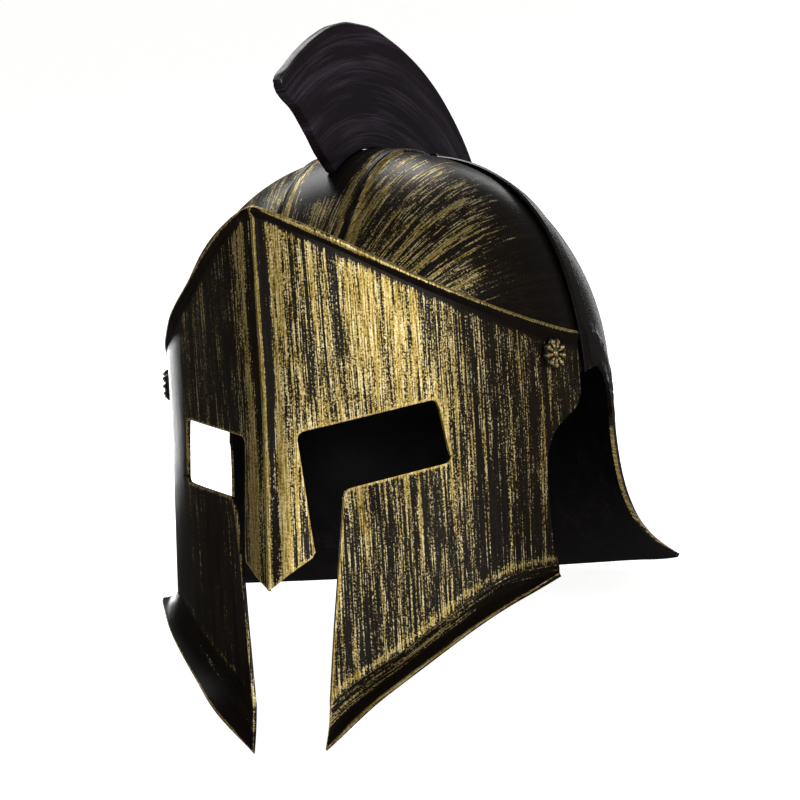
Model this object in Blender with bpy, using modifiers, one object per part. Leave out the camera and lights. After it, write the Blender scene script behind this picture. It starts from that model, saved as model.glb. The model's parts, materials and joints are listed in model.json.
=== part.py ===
"""Gladiator helmet: a plastic costume helmet with a lifting visor and a crest fin.

Units are metres, +Z up. The pieces are drawn in the worn position, called the head frame:
X to the wearer's left, Y to the back of the head, Z up, with the neck guard's bottom edge at
z = 0. An empty then leans the whole helmet back until it stands on its two cheek tips and the
back of its neck guard, which is how it rests on a table.
"""
import math

import bmesh
import bpy
import numpy as np
from mathutils import Matrix, Vector

MM = 0.001
HELMET = "gladiator_helmet"
SHARP_ANGLE_DEG = 32.0
WELD = 0.02
SLIVER = 0.01
MIRROR_WELD = 0.05
OUTLINE_WELD = 0.001
OUTLINE_BEND = 0.01
BEVEL_ANGLE_DEG = 50.0

# Skull: a full, slightly square ellipsoid with its own front and rear lengths, all in mm.
SKULL_HALF_WIDTH = 96.0
SKULL_FRONT = 98.0
SKULL_REAR = 125.7
SKULL_HEIGHT = 116.8
SKULL_POWER = 2.25
BROW_POWER = 2.13
BROW_SLIMS_DEG = (110.0, 160.0)
SKULL_CENTRE_Y = 32.0
SKULL_CENTRE_Z = 78.0
SHELL_WALL = 1.6
SEAM_GAP = 0.3
LAP = SHELL_WALL + SEAM_GAP

# The rear shell laps over the front shell along a line that leans back towards the crown.
SEAM_Y = 36.0
SEAM_BEND_Z = 110.0
SEAM_BEND = 0.0032
SEAM_OVERLAP = 10.0
BROW_ANGLE_DEG = 175.0

# The shells' sections: the smallest ones lie where the ear opening cuts them away.
FRONT_EDGE_SHARE = 0.3
FRONT_EAR_SHARE = 0.04
REAR_EAR_SHARE = 0.07
FRONT_SIDE_STEPS = 8
REAR_SIDE_STEPS = 9
EAR_STEPS = 3
FRONT_ROWS = 14
REAR_ROWS = 11
HALVINGS = 40
SEAM_SEARCH = 0.75 * math.pi

# Raised bands: one from brow to nape, and one over the crown from ear to ear.
BAND_HALF_WIDTH = 22.0
BAND_RAISE = 1.6
CROWN_BAND_WIDTH = 13.5
CROWN_BAND_RAISE = 0.9
BAND_STEP = 1.2
BAND_NESTS = 0.8

# Ear openings, each with a raised hood round it, and the neck guard.
ARCH_Y = 46.3
ARCH_Z = 70.0
ARCH_RADIUS = 18.9
ARCH_SIDES = 48
CUTTER_REACH = 120.0
HOOD_RADIUS = 36.0
HOOD_RAISE = 2.0
HOOD_STEP = 5.0
HOOD_FOOT_SHARE = 0.3
NECK_EDGE_Y = 65.0
NECK_EDGE_TOP_Z = 66.0
NECK_EDGE_LEAN = 0.42
NECK_SWEEP = 33.5
NECK_SWEEP_FADE = 13.0
NECK_FLARE = 25.0
NECK_FLARE_BACK = 48.0
NECK_FLARE_FADE = 18.0
NECK_ROWS_Z = (78.0, 72.0, 66.0, 57.0, 47.0, 37.0, 28.0, 20.5, 14.0, 9.0, 5.5, 2.1)
EDGE_DROP = 2.8
NAPE_TUCK = 17.5
NAPE_TOP_Z = 135.0
NAPE_FADE = 98.0

# Visor: one plan curve, from the nose ridge round to the temple, is used at every height.
VISOR_WALL = 1.8
VISOR_PLAN = (
    # x, y
    (0.0, -99.6),
    (5.6, -98.4),
    (12.6, -94.2),
    (27.0, -81.5),
    (42.0, -69.3),
    (61.0, -53.0),
    (79.0, -30.5),
    (86.0, -19.5),
    (93.0, -4.0),
    (97.6, 10.0),
    (100.6, 23.5),
)
RIM_TOP_Z = 167.3
RIM_FALL = 0.628
RIM_CAP = 4.0
RIM_BEAD = 2.6
RIM_BEAD_TAPER = 0.6
RIM_BEAD_TAPER_X = (65.0, 90.0)
RIM_BEAD_DEPTH = 5.0
RIM_BEAD_SHAPE = ((0.0, 0.4), (0.3, 1.0), (0.7, 0.9))
FOREHEAD_SWELL = 4.0
FOREHEAD_SWELL_X = 28.0
FOREHEAD_SWELL_WIDTH = 18.0
FOREHEAD_SWELL_Z = (50.0, 150.0)
NOSE_FORWARD = 6.4
NOSE_Z = (80.0, -3.0)
NOSE_BEND = 1.2
NOSE_HALF_WIDTH = 30.0
PAST_END = 1.2
PLAN_POINTS = 600
PLAN_STEP = 0.5
RIDGE_X = 5.6
EYE_INNER_X = 12.6
EYE_INNER_Z = 63.8
EYE_OUTER_X = (62.3, 65.4)
EYE_TOP_SLOPE = 0.237
EYE_BOTTOM_INNER = (27.2, 37.7)
EYE_BOTTOM_SLOPE = 0.247
NOSE_END_X = 17.2
NOSE_END_Z = 9.4
NOSE_TIP_Z = -4.6
CHEEK_BACK = 1.7
CHEEK_BACK_Z = (42.0, 22.0)
TEMPLE_SWELL = 1.8
TEMPLE_X = (60.0, 85.0)
TEMPLE_TOP_Z = 65.0
CHEEK_TIP_X = 19.0
FLANGE_SAG = 1.2
REAR_TOP_Z = 106.0
REAR_LOW_Z = -1.0
REAR_EDGE = (
    # z, y
    (106.0, 22.6),
    (90.0, 23.4),
    (78.0, 23.2),
    (71.0, 20.0),
    (66.0, 12.0),
    (62.0, 5.5),
    (55.5, -0.5),
    (48.0, -3.6),
    (37.0, -5.0),
    (18.0, -5.2),
    (7.0, -4.8),
    (-1.0, -2.4),
)
CREASE = (
    # x, z
    (19.0, -55.5),
    (26.0, -48.2),
    (44.3, -34.8),
    (60.3, -21.1),
    (73.1, -10.5),
    (83.6, -3.6),
    (94.0, -1.0),
)
FLANGE_EDGE = (
    # share of the width, x, y, z
    (0.00, 17.6, -95.8, -75.2),
    (0.18, 36.6, -88.9, -57.6),
    (0.42, 56.3, -71.4, -40.7),
    (0.68, 76.8, -49.4, -23.2),
    (0.88, 91.3, -27.6, -11.4),
    (1.00, 99.0, -12.8, -4.6),
)

# Rosette rivets, which the visor turns on.
HINGE_Y = 2.4
HINGE_Z = 93.9
PIN_RADIUS = 2.4
HOLE_RADIUS = 2.48
PIN_INNER_X = 87.6
ROSETTE_RADIUS = 7.4
ROSETTE_PETALS = 9
ROSETTE_X = 96.7
ROSETTE_TURN_DEG = 19.0
ROSETTE_RINGS = (
    # share of the radius, height
    (0.30, 2.6),
    (0.46, 1.9),
    (0.78, 2.3),
    (1.00, 1.2),
)
ROSETTE_HUB = 3.0
PETAL_NOTCH = 0.16
PETAL_DIP = 0.9
PIN_BURIED = 1.0
PIN_SIDES = 24
INNER_HEAD_RADIUS = 4.2
INNER_HEAD_X = (86.4, 88.2)

# Crest: a flat fin on the centre line, plugged into the band with two tongues.
CREST_THICK = 5.0
CREST_GAP = 0.3
CREST_EDGE_ROUND = 1.0
TONGUE_DEPTH = 6.5
TONGUE_LENGTH = 9.5
TONGUE_PLAY = 0.3
TONGUE_ANGLES_DEG = (114.6, 34.0)
CREST_OUTLINE = (
    # y, z
    (-25.9, 191.2),
    (-37.0, 200.9),
    (-49.6, 210.9),
    (-64.4, 218.2),
    (-66.6, 222.2),
    (-55.0, 230.6),
    (-40.3, 238.8),
    (-21.5, 246.9),
    (-4.0, 252.2),
    (12.7, 254.5),
    (33.0, 254.3),
    (54.6, 250.3),
    (82.3, 241.9),
    (106.2, 230.5),
    (126.2, 216.4),
    (138.8, 204.6),
    (148.5, 192.0),
    (157.0, 176.0),
    (163.5, 158.0),
    (167.0, 141.0),
    (167.5, 127.0),
    (164.5, 117.0),
)
CREST_REAR_ANGLE_DEG = 16.5
CREST_FRONT_ANGLE_DEG = 117.6
CREST_BASE_POINTS = 36

# The lean at rest is found between these two limits.
REST_PITCH_LIMITS_DEG = (5.0, 30.0)


def smooth(table, at, column=1):
    """Read a table's column between its rows, on a smooth curve that never overshoots."""
    rows = np.array(table, dtype=float)
    if rows[0, 0] > rows[-1, 0]:
        rows = rows[::-1]
    x, y = rows[:, 0], rows[:, column]
    slope = np.diff(y) / np.diff(x)
    mid = np.zeros_like(y)
    same_way = slope[1:] * slope[:-1] > 0
    total = np.where(same_way, slope[1:] + slope[:-1], 1.0)
    mid[1:-1] = np.where(same_way, 2.0 * slope[1:] * slope[:-1] / total, 0.0)
    mid[0], mid[-1] = slope[0], slope[-1]
    at = np.clip(np.asarray(at, dtype=float), x[0], x[-1])
    row = np.clip(np.searchsorted(x, at, side="right") - 1, 0, len(x) - 2)
    width = x[row + 1] - x[row]
    t = (at - x[row]) / width
    start = (2 * t**3 - 3 * t**2 + 1) * y[row] + (t**3 - 2 * t**2 + t) * width * mid[row]
    end = (3 * t**2 - 2 * t**3) * y[row + 1] + (t**3 - t**2) * width * mid[row + 1]
    return start + end


def ease(value):
    """A step from 0 to 1 with soft ends."""
    value = np.clip(value, 0.0, 1.0)
    return value * value * (3.0 - 2.0 * value)


def share_of(value, ends):
    """How far a value is from the first end towards the second."""
    return (value - ends[0]) / (ends[1] - ends[0])


def new_collection(name):
    collection = bpy.data.collections.new(name)
    bpy.context.scene.collection.children.link(collection)
    return collection


def make_material(name, colour, roughness, metallic):
    material = bpy.data.materials.new(name)
    material.use_nodes = True
    shader = material.node_tree.nodes["Principled BSDF"]
    shader.inputs["Base Color"].default_value = (*colour, 1.0)
    shader.inputs["Roughness"].default_value = roughness
    shader.inputs["Metallic"].default_value = metallic
    return material


def add_object(name, mesh, collection, material=None):
    item = bpy.data.objects.new(name, mesh)
    collection.objects.link(item)
    if material is not None:
        mesh.materials.append(material)
    return item


def make_cutter(item, collection):
    """Hide a cutter and keep it apart from the parts."""
    for owner in list(item.users_collection):
        owner.objects.unlink(item)
    collection.objects.link(item)
    item.display_type = "WIRE"
    item.hide_render = True


def add_boolean(target, cutter, operation="DIFFERENCE"):
    modifier = target.modifiers.new(cutter.name, "BOOLEAN")
    modifier.operation = operation
    modifier.solver = "EXACT"
    modifier.object = cutter


def grid_mesh(name, patches):
    """One open surface from patches, each an array of points in mm with rows and columns."""
    shape = bmesh.new()
    for points in patches:
        rows, columns = points.shape[:2]
        verts = [[shape.verts.new(Vector(p) * MM) for p in line] for line in points]
        for i in range(rows - 1):
            for j in range(columns - 1):
                shape.faces.new((verts[i][j], verts[i + 1][j], verts[i + 1][j + 1], verts[i][j + 1]))
    bmesh.ops.remove_doubles(shape, verts=shape.verts, dist=WELD * MM)
    bmesh.ops.dissolve_degenerate(shape, edges=shape.edges, dist=SLIVER * MM)
    mesh = bpy.data.meshes.new(name)
    shape.to_mesh(mesh)
    shape.free()
    return mesh


def shell_object(name, patches, wall, collection, material):
    """A mirrored half surface with a wall on its inner side, in flat faces that cut cleanly."""
    item = add_object(name, grid_mesh(name, patches), collection, material)
    mirror = item.modifiers.new("both_sides", "MIRROR")
    mirror.use_axis = (True, False, False)
    mirror.use_mirror_merge = True
    mirror.merge_threshold = MIRROR_WELD * MM
    solid = item.modifiers.new("wall", "SOLIDIFY")
    solid.thickness = wall * MM
    solid.offset = -1.0
    solid.use_even_offset = True
    item.modifiers.new("flat_faces", "TRIANGULATE")
    return item


# ---------------------------------------------------------------- skull shells


def width_share(share, power=SKULL_POWER):
    """A section's share of the half width, for its size; or its size, for that share."""
    return (1.0 - np.clip(share, 0.0, 1.0) ** power) ** (1.0 / power)


def nape_tuck(z):
    """How far the back draws in towards the nape."""
    return NAPE_TUCK * ease((NAPE_TOP_Z - z) / NAPE_FADE)


def skull_point(share, angle, grow=0.0):
    """A point on the skull, grown outwards by a few millimetres.

    Every section at a width x is a smaller copy of the middle one. Share is its size, and angle
    runs from straight back, over the crown, to straight ahead. The brow is a little less square.
    """
    start, end = np.radians(BROW_SLIMS_DEG)
    power = SKULL_POWER + (BROW_POWER - SKULL_POWER) * ease((angle - start) / (end - start))
    x = (SKULL_HALF_WIDTH + grow) * width_share(share, power)
    z = SKULL_CENTRE_Z + (SKULL_HEIGHT + grow) * share * np.sin(angle)
    length = np.where(np.cos(angle) > 0.0, SKULL_REAR - nape_tuck(z), SKULL_FRONT)
    return np.stack([x, SKULL_CENTRE_Y + (length + grow) * share * np.cos(angle), z], axis=-1)


def seam_y(z):
    """Where the rear shell's front edge lies, by height."""
    return SEAM_Y + SEAM_BEND * np.maximum(z - SEAM_BEND_Z, 0.0) ** 2


def seam_angle(share, grow, beyond):
    """The angle at which each section meets the seam line moved back by beyond."""
    low = np.zeros_like(share)
    high = low + SEAM_SEARCH
    for _ in range(HALVINGS):
        middle = 0.5 * (low + high)
        point = skull_point(share, middle, grow)
        behind = point[..., 1] > seam_y(point[..., 2]) + beyond
        low = np.where(behind, middle, low)
        high = np.where(behind, high, middle)
    return 0.5 * (low + high)


def section_shares(band_half_width, side_steps, edge_share, ear_share):
    """Sizes of the sections, from the middle one out to the ear, with two at the band's edge."""
    flat = np.linspace(0.0, band_half_width - BAND_STEP, 4)
    band = np.append(flat, band_half_width) / SKULL_HALF_WIDTH
    band = width_share(band)
    side = np.cos(np.linspace(math.acos(band[-1]), math.acos(edge_share), side_steps + 1))[1:]
    ear = np.linspace(edge_share, ear_share, EAR_STEPS + 1)[1:]
    return np.concatenate([band, side, ear])


def band_raise(shares, band_half_width):
    """The middle band's height over the sections."""
    edge = width_share((band_half_width - 0.5 * BAND_STEP) / SKULL_HALF_WIDTH)
    return np.where(shares > edge, BAND_RAISE, 0.0)


def front_shell(collection, material):
    """Brow and crown: lines from under the rear shell's edge forward to the brow."""
    band_half_width = BAND_HALF_WIDTH - BAND_NESTS
    shares = section_shares(band_half_width, FRONT_SIDE_STEPS, FRONT_EDGE_SHARE, FRONT_EAR_SHARE)
    start = seam_angle(shares, 0.0, SEAM_OVERLAP)
    along = np.linspace(0.0, 1.0, FRONT_ROWS)[:, None]
    angle = start[None, :] * (1.0 - along) + math.radians(BROW_ANGLE_DEG) * along
    raised = band_raise(shares, band_half_width)[None, :] + 0.0 * angle
    points = skull_point(shares[None, :] + 0.0 * angle, angle, raised)
    return shell_object("skull_front", [points], SHELL_WALL, collection, material)


def hood_raise(y, z):
    """The raised pad round the ear opening, which runs on down the front of the neck guard."""
    from_ear = np.hypot(y - ARCH_Y, np.maximum(z - ARCH_Z, 0.0))
    pad = ease((HOOD_RADIUS - from_ear) / HOOD_STEP + 0.5)
    return HOOD_RAISE * pad * ease(z / ARCH_Z + HOOD_FOOT_SHARE) * ease((y - SEAM_Y) / HOOD_STEP)


def neck_point(share, z):
    """A point on the neck guard: the skull's widest section, tucked at the nape, flared below."""
    flare = np.exp(-np.maximum(z, 0.0) / NECK_FLARE_FADE)
    stand = LAP + hood_raise(SKULL_CENTRE_Y + SKULL_REAR * share, z)
    half = SKULL_HALF_WIDTH + stand + NECK_FLARE * flare
    reach = SKULL_REAR + stand - nape_tuck(z) + NECK_FLARE_BACK * flare
    return np.stack([half * width_share(share), SKULL_CENTRE_Y + reach * share, z + 0.0 * share], axis=-1)


def neck_edge_share(z):
    """The section at which the neck guard's front edge lies, by height."""
    edge_y = NECK_EDGE_Y + NECK_SWEEP * np.exp(-z / NECK_SWEEP_FADE)
    edge_y = edge_y - NECK_EDGE_LEAN * np.maximum(z - NECK_EDGE_TOP_Z, 0.0)
    low, high = np.zeros_like(z), np.ones_like(z)
    for _ in range(HALVINGS):
        middle = 0.5 * (low + high)
        behind = neck_point(middle, z)[..., 1] > edge_y
        high = np.where(behind, middle, high)
        low = np.where(behind, low, middle)
    return 0.5 * (low + high)


def rear_shell(collection, material):
    """The back of the skull with its raised bands, and the neck guard below."""
    edge_share = float(neck_edge_share(np.array(SKULL_CENTRE_Z)))
    shares = section_shares(BAND_HALF_WIDTH, REAR_SIDE_STEPS, edge_share, REAR_EAR_SHARE)
    stops = (0.0, BAND_STEP, CROWN_BAND_WIDTH, CROWN_BAND_WIDTH + BAND_STEP)
    stops = [seam_angle(shares, LAP, back)[None] for back in stops]
    down = np.linspace(0.0, 1.0, REAR_ROWS)[:, None]
    angle = np.concatenate(stops[:3] + [stops[3] * (1.0 - down)])
    crown = np.zeros_like(angle)
    crown[1:3] = CROWN_BAND_RAISE
    flat = skull_point(shares[None, :] + 0.0 * angle, angle, LAP)
    raised = np.maximum(crown, band_raise(shares, BAND_HALF_WIDTH)[None, :])
    raised = np.maximum(raised, hood_raise(flat[..., 1], flat[..., 2]))
    upper = skull_point(shares[None, :] + 0.0 * angle, angle, LAP + raised)

    neck_z = np.array(NECK_ROWS_Z)[:, None]
    behind = shares[:-EAR_STEPS]
    edge = neck_edge_share(neck_z)
    spread = (1.0 - behind[None, :]) / (1.0 - edge_share)
    lower_shares = 1.0 - spread * (1.0 - edge)
    drop = EDGE_DROP * (neck_z == neck_z[-1]) * lower_shares
    lower = neck_point(lower_shares, neck_z - drop)
    lower[0] = upper[-1, : len(behind)]
    patches = [upper[:, ::-1], lower[:, ::-1]]
    return shell_object("rear_shell", patches, SHELL_WALL, collection, material)


# ---------------------------------------------------------------- visor


def plan_lengths():
    """Distance along the visor's plan curve, with the x and y at each distance."""
    rows = np.array(VISOR_PLAN)
    step = np.hypot(np.diff(rows[:, 0]), np.diff(rows[:, 1]))
    length = np.concatenate([[0.0], np.cumsum(step)])
    return [(s, x, y) for s, (x, y) in zip(length, rows)]


PLAN = plan_lengths()
PLAN_S = np.linspace(0.0, PLAN[-1][0], PLAN_POINTS)
PLAN_X = smooth(PLAN, PLAN_S, 1)
PLAN_Y = smooth(PLAN, PLAN_S, 2)


def s_at_x(x):
    """The distance along the plan at a half width."""
    return np.interp(x, PLAN_X, PLAN_S)


def s_at_y(y):
    """The distance along the plan at a depth."""
    return np.interp(y, PLAN_Y, PLAN_S)


def x_at(s):
    """The half width at a distance along the plan."""
    return np.interp(s, PLAN_S, PLAN_X)


def rim_z(s):
    """The visor's top edge: straight down to the temples from a rounded peak."""
    x = x_at(s)
    return RIM_TOP_Z - RIM_FALL * np.sqrt(x**2 + RIM_CAP**2)


def eye_top_z(s):
    """The eye slot's top line, carried on level past both its ends."""
    x = np.clip(x_at(s), EYE_INNER_X, EYE_OUTER_X[0])
    return EYE_INNER_Z + EYE_TOP_SLOPE * (x - EYE_INNER_X)


def eye_bottom_z(s):
    """The eye slot's lower line, carried on level past both its ends."""
    x = np.clip(x_at(s), EYE_BOTTOM_INNER[0], EYE_OUTER_X[1])
    return EYE_BOTTOM_INNER[1] + EYE_BOTTOM_SLOPE * (x - EYE_BOTTOM_INNER[0])


def nose_z(s):
    """The nose guard's lower edge."""
    x = np.minimum(x_at(s), NOSE_END_X)
    return NOSE_TIP_Z + (NOSE_END_Z - NOSE_TIP_Z) * x / NOSE_END_X


def crease_z(s):
    """The line where the flange leaves the cheek."""
    return smooth(CREASE, x_at(s))


def visor_point(s, z, out=0.0):
    """A point on the visor's outer face at a distance s from the ridge and a height z."""
    x = x_at(s)
    y = np.interp(s, PLAN_S, PLAN_Y)
    before, after = s - PLAN_STEP, s + PLAN_STEP
    tangent_x = x_at(after) - x_at(before)
    tangent_y = np.interp(after, PLAN_S, PLAN_Y) - np.interp(before, PLAN_S, PLAN_Y)
    size = np.hypot(tangent_x, tangent_y)
    on_ridge = s < SLIVER
    normal_x = np.where(on_ridge, 0.0, tangent_y / size)
    normal_y = np.where(on_ridge, -1.0, -tangent_x / size)
    swell = FOREHEAD_SWELL * np.exp(-(((x - FOREHEAD_SWELL_X) / FOREHEAD_SWELL_WIDTH) ** 2))
    swell = swell * np.clip(share_of(z, FOREHEAD_SWELL_Z), 0.0, PAST_END)
    nose = NOSE_FORWARD * np.clip(share_of(z, NOSE_Z), 0.0, PAST_END) ** NOSE_BEND
    nose = nose * np.clip(1.0 - x / NOSE_HALF_WIDTH, 0.0, 1.0)
    temple = TEMPLE_SWELL * ease(share_of(x, TEMPLE_X)) * np.clip(1.0 - z / TEMPLE_TOP_Z, 0.0, 1.0)
    out = out + swell + temple
    return np.stack([x + normal_x * out, y + normal_y * out - nose, z + 0.0 * s], axis=-1)


def visor_patch(left, right, top, bottom, columns, shares, bead=()):
    """Points between two side lines and two end lines, in distance and height."""
    across = np.linspace(0.0, 1.0, columns + 1)[None, :]
    down = np.concatenate([[0.0] * len(bead), shares])[:, None]
    s = left(down) * (1.0 - across) + right(down) * across
    drop = np.array([row[0] for row in bead] + [RIM_BEAD_DEPTH if bead else 0.0] * len(shares))[:, None]
    out = np.array([row[1] for row in bead] + [0.0] * len(shares))[:, None]
    z = (top(s) - drop) * (1.0 - down) + bottom(s) * down
    out = out * (1.0 - RIM_BEAD_TAPER * ease(share_of(x_at(s), RIM_BEAD_TAPER_X)))
    return visor_point(s, z, out)


def visor_patches():
    """Brow, nose, temple, cheek and flange, each sharing its neighbours' lines."""
    ridge, inner = s_at_x(RIDGE_X), s_at_x(EYE_INNER_X)
    cheek = s_at_x(EYE_BOTTOM_INNER[0])
    outer_top, outer_low = s_at_x(EYE_OUTER_X[0]), s_at_x(EYE_OUTER_X[1])
    nose_end, cheek_end = s_at_x(NOSE_END_X), s_at_x(CHEEK_TIP_X)

    def fixed(value):
        return lambda down: value + 0.0 * down

    def between(start, end):
        return lambda down: start + (end - start) * down

    def rear(z_top, z_bottom):
        return lambda down: s_at_y(smooth(REAR_EDGE, z_top + (z_bottom - z_top) * down))

    bead = [(share * RIM_BEAD_DEPTH, out * RIM_BEAD) for share, out in RIM_BEAD_SHAPE]
    brow = np.linspace(0.0, 1.0, 6)
    eye_rear = eye_top_z(PLAN_S[-1]), eye_bottom_z(PLAN_S[-1])
    brow_patches = [
        visor_patch(fixed(0.0), fixed(ridge), rim_z, eye_top_z, 1, brow, bead),
        visor_patch(fixed(ridge), fixed(inner), rim_z, eye_top_z, 1, brow, bead),
        visor_patch(fixed(inner), fixed(cheek), rim_z, eye_top_z, 3, brow, bead),
        visor_patch(fixed(cheek), fixed(outer_top), rim_z, eye_top_z, 6, brow, bead),
        visor_patch(fixed(outer_top), rear(REAR_TOP_Z, eye_rear[0]), rim_z, eye_top_z, 10, brow, bead),
    ]
    lower = np.linspace(0.0, 1.0, 7)
    middle = np.linspace(0.0, 1.0, 6)
    nose = [
        visor_patch(fixed(0.0), fixed(ridge), eye_top_z, nose_z, 1, middle),
        visor_patch(fixed(ridge), between(inner, nose_end), eye_top_z, nose_z, 1, middle),
    ]
    side = visor_patch(between(outer_top, outer_low), rear(*eye_rear), eye_top_z, eye_bottom_z, 10, middle)
    cheek_rear_edge = rear(eye_rear[1], REAR_LOW_Z)
    cheek_front = visor_patch(between(cheek, cheek_end), fixed(outer_low), eye_bottom_z, crease_z, 6, lower)
    cheek_rear = visor_patch(fixed(outer_low), cheek_rear_edge, eye_bottom_z, crease_z, 10, lower)
    back = CHEEK_BACK * ease(share_of(cheek_front[..., 2], CHEEK_BACK_Z))
    cheek_front[..., 1] += back * np.linspace(1.0, 0.0, cheek_front.shape[1])
    crease = np.concatenate([cheek_front[-1], cheek_rear[-1][1:]])
    run = np.concatenate([[0.0], np.cumsum(np.linalg.norm(np.diff(crease, axis=0), axis=1))])
    share = run / run[-1]
    edge = np.stack([smooth(FLANGE_EDGE, share, c) for c in (1, 2, 3)], axis=-1)
    down = np.linspace(0.0, 1.0, 4)[:, None, None]
    flange = crease[None] * (1.0 - down) + edge[None] * down
    flange[..., 2] -= FLANGE_SAG * np.sin(math.pi * down[..., 0])
    return brow_patches + nose + [side, cheek_front, cheek_rear, flange]


def visor(collection, material):
    """The face piece, which turns on the two rivets."""
    return shell_object("visor", visor_patches(), VISOR_WALL, collection, material)


# ---------------------------------------------------------------- rivets and crest


def cylinder(name, radius, x_ends, y, z, sides, collection):
    """A plain bar along X, between its two ends."""
    x_from, x_to = x_ends
    mesh = bpy.data.meshes.new(name)
    shape = bmesh.new()
    centre = Matrix.Translation(Vector(((x_from + x_to) / 2, y, z)) * MM)
    bmesh.ops.create_cone(
        shape,
        cap_ends=True,
        segments=sides,
        radius1=radius * MM,
        radius2=radius * MM,
        depth=abs(x_to - x_from) * MM,
        matrix=centre @ Matrix.Rotation(math.pi / 2, 4, "Y"),
    )
    shape.to_mesh(mesh)
    shape.free()
    return add_object(name, mesh, collection)


def rosette_mesh(name, side):
    """A domed flower: a lobed disc whose rim height follows its petals."""
    shape = bmesh.new()
    around = 4 * ROSETTE_PETALS
    hub = shape.verts.new((0.0, 0.0, ROSETTE_HUB * MM))
    loops = []
    for share, height in ROSETTE_RINGS:
        loop = []
        for k in range(around):
            turn = 2 * math.pi * k / around
            lobe = 0.5 + 0.5 * math.cos(ROSETTE_PETALS * turn)
            radius = ROSETTE_RADIUS * share * (1.0 - PETAL_NOTCH * share * (1.0 - lobe))
            dip = 0.0 if share == ROSETTE_RINGS[0][0] else PETAL_DIP
            lift = height - dip * (1.0 - lobe)
            spot = Vector((radius * math.cos(turn), radius * math.sin(turn), lift))
            loop.append(shape.verts.new(spot * MM))
        loops.append(loop)
    base = [shape.verts.new((v.co.x, v.co.y, 0.0)) for v in loops[-1]]
    loops.append(base)
    foot = shape.verts.new((0.0, 0.0, 0.0))
    for k in range(around):
        after = (k + 1) % around
        shape.faces.new((hub, loops[0][k], loops[0][after]))
        shape.faces.new((foot, base[after], base[k]))
        for upper, under in zip(loops[:-1], loops[1:]):
            shape.faces.new((upper[k], under[k], under[after], upper[after]))
    turn = Matrix.Rotation(math.pi / 2, 4, "Y")
    lean = Matrix.Rotation(-math.radians(ROSETTE_TURN_DEG), 4, "Z")
    place = Matrix.Translation(Vector((ROSETTE_X, HINGE_Y, HINGE_Z)) * MM)
    bmesh.ops.transform(shape, matrix=place @ lean @ turn, verts=shape.verts)
    if side < 0:
        bmesh.ops.transform(shape, matrix=Matrix.Scale(-1, 4, Vector((1, 0, 0))), verts=shape.verts)
        bmesh.ops.reverse_faces(shape, faces=shape.faces)
    mesh = bpy.data.meshes.new(name)
    shape.to_mesh(mesh)
    shape.free()
    return mesh


def rivet(name, side, collection, cutters, material):
    """A rosette with its pin and inner head, as one piece."""
    item = add_object(name, rosette_mesh(name, side), collection, material)
    pin_ends = (side * PIN_INNER_X, side * (ROSETTE_X + PIN_BURIED))
    pin = cylinder(name + "_pin", PIN_RADIUS, pin_ends, HINGE_Y, HINGE_Z, PIN_SIDES, cutters)
    head_ends = (side * INNER_HEAD_X[0], side * INNER_HEAD_X[1])
    head = cylinder(name + "_head", INNER_HEAD_RADIUS, head_ends, HINGE_Y, HINGE_Z, PIN_SIDES, cutters)
    for piece in (pin, head):
        make_cutter(piece, cutters)
        add_boolean(item, piece, "UNION")
    return item


def band_top(angle, above=0.0):
    """A line over the rear shell's middle band, as y and z, by angle from straight back."""
    point = skull_point(np.ones_like(angle), angle, LAP + BAND_RAISE + above)
    return point[..., 1], point[..., 2]


def outline_object(name, points, thickness, collection, bevel=0.0):
    """A flat outline in the Y-Z plane, given a thickness along X and made a mesh."""
    curve = bpy.data.curves.new(name + "_outline", "CURVE")
    curve.dimensions = "2D"
    curve.fill_mode = "BOTH"
    curve.extrude = thickness * MM / 2
    spline = curve.splines.new("POLY")
    spline.points.add(len(points) - 1)
    for slot, (y, z) in zip(spline.points, points):
        slot.co = (y * MM, z * MM, 0.0, 1.0)
    spline.use_cyclic_u = True
    holder = bpy.data.objects.new(name + "_curve", curve)
    collection.objects.link(holder)
    holder.matrix_world = Matrix(((0, 0, 1, 0), (1, 0, 0, 0), (0, 1, 0, 0), (0, 0, 0, 1)))
    bpy.context.view_layer.update()
    seen = holder.evaluated_get(bpy.context.evaluated_depsgraph_get())
    mesh = bpy.data.meshes.new_from_object(seen)
    mesh.name = name
    shape = bmesh.new()
    shape.from_mesh(mesh)
    bmesh.ops.remove_doubles(shape, verts=shape.verts, dist=OUTLINE_WELD * MM)
    bmesh.ops.dissolve_limit(shape, angle_limit=OUTLINE_BEND, verts=shape.verts, edges=shape.edges)
    shape.to_mesh(mesh)
    shape.free()
    item = add_object(name, mesh, collection)
    item.matrix_world = holder.matrix_world
    bpy.data.objects.remove(holder)
    if bevel:
        edge = item.modifiers.new("edge", "BEVEL")
        edge.width = bevel * MM
        edge.segments = 2
        edge.limit_method = "ANGLE"
        edge.angle_limit = math.radians(BEVEL_ANGLE_DEG)
    return item


def crest(collection, material):
    """The fin: its lower edge follows the band, just clear of the rear shell."""
    base = np.radians(np.linspace(CREST_REAR_ANGLE_DEG, CREST_FRONT_ANGLE_DEG, CREST_BASE_POINTS))
    y, z = band_top(base, CREST_GAP)
    outline = list(CREST_OUTLINE) + list(zip(y, z))
    fin = outline_object("crest", outline, CREST_THICK, collection, CREST_EDGE_ROUND)
    fin.data.materials.append(material)
    return fin


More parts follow.
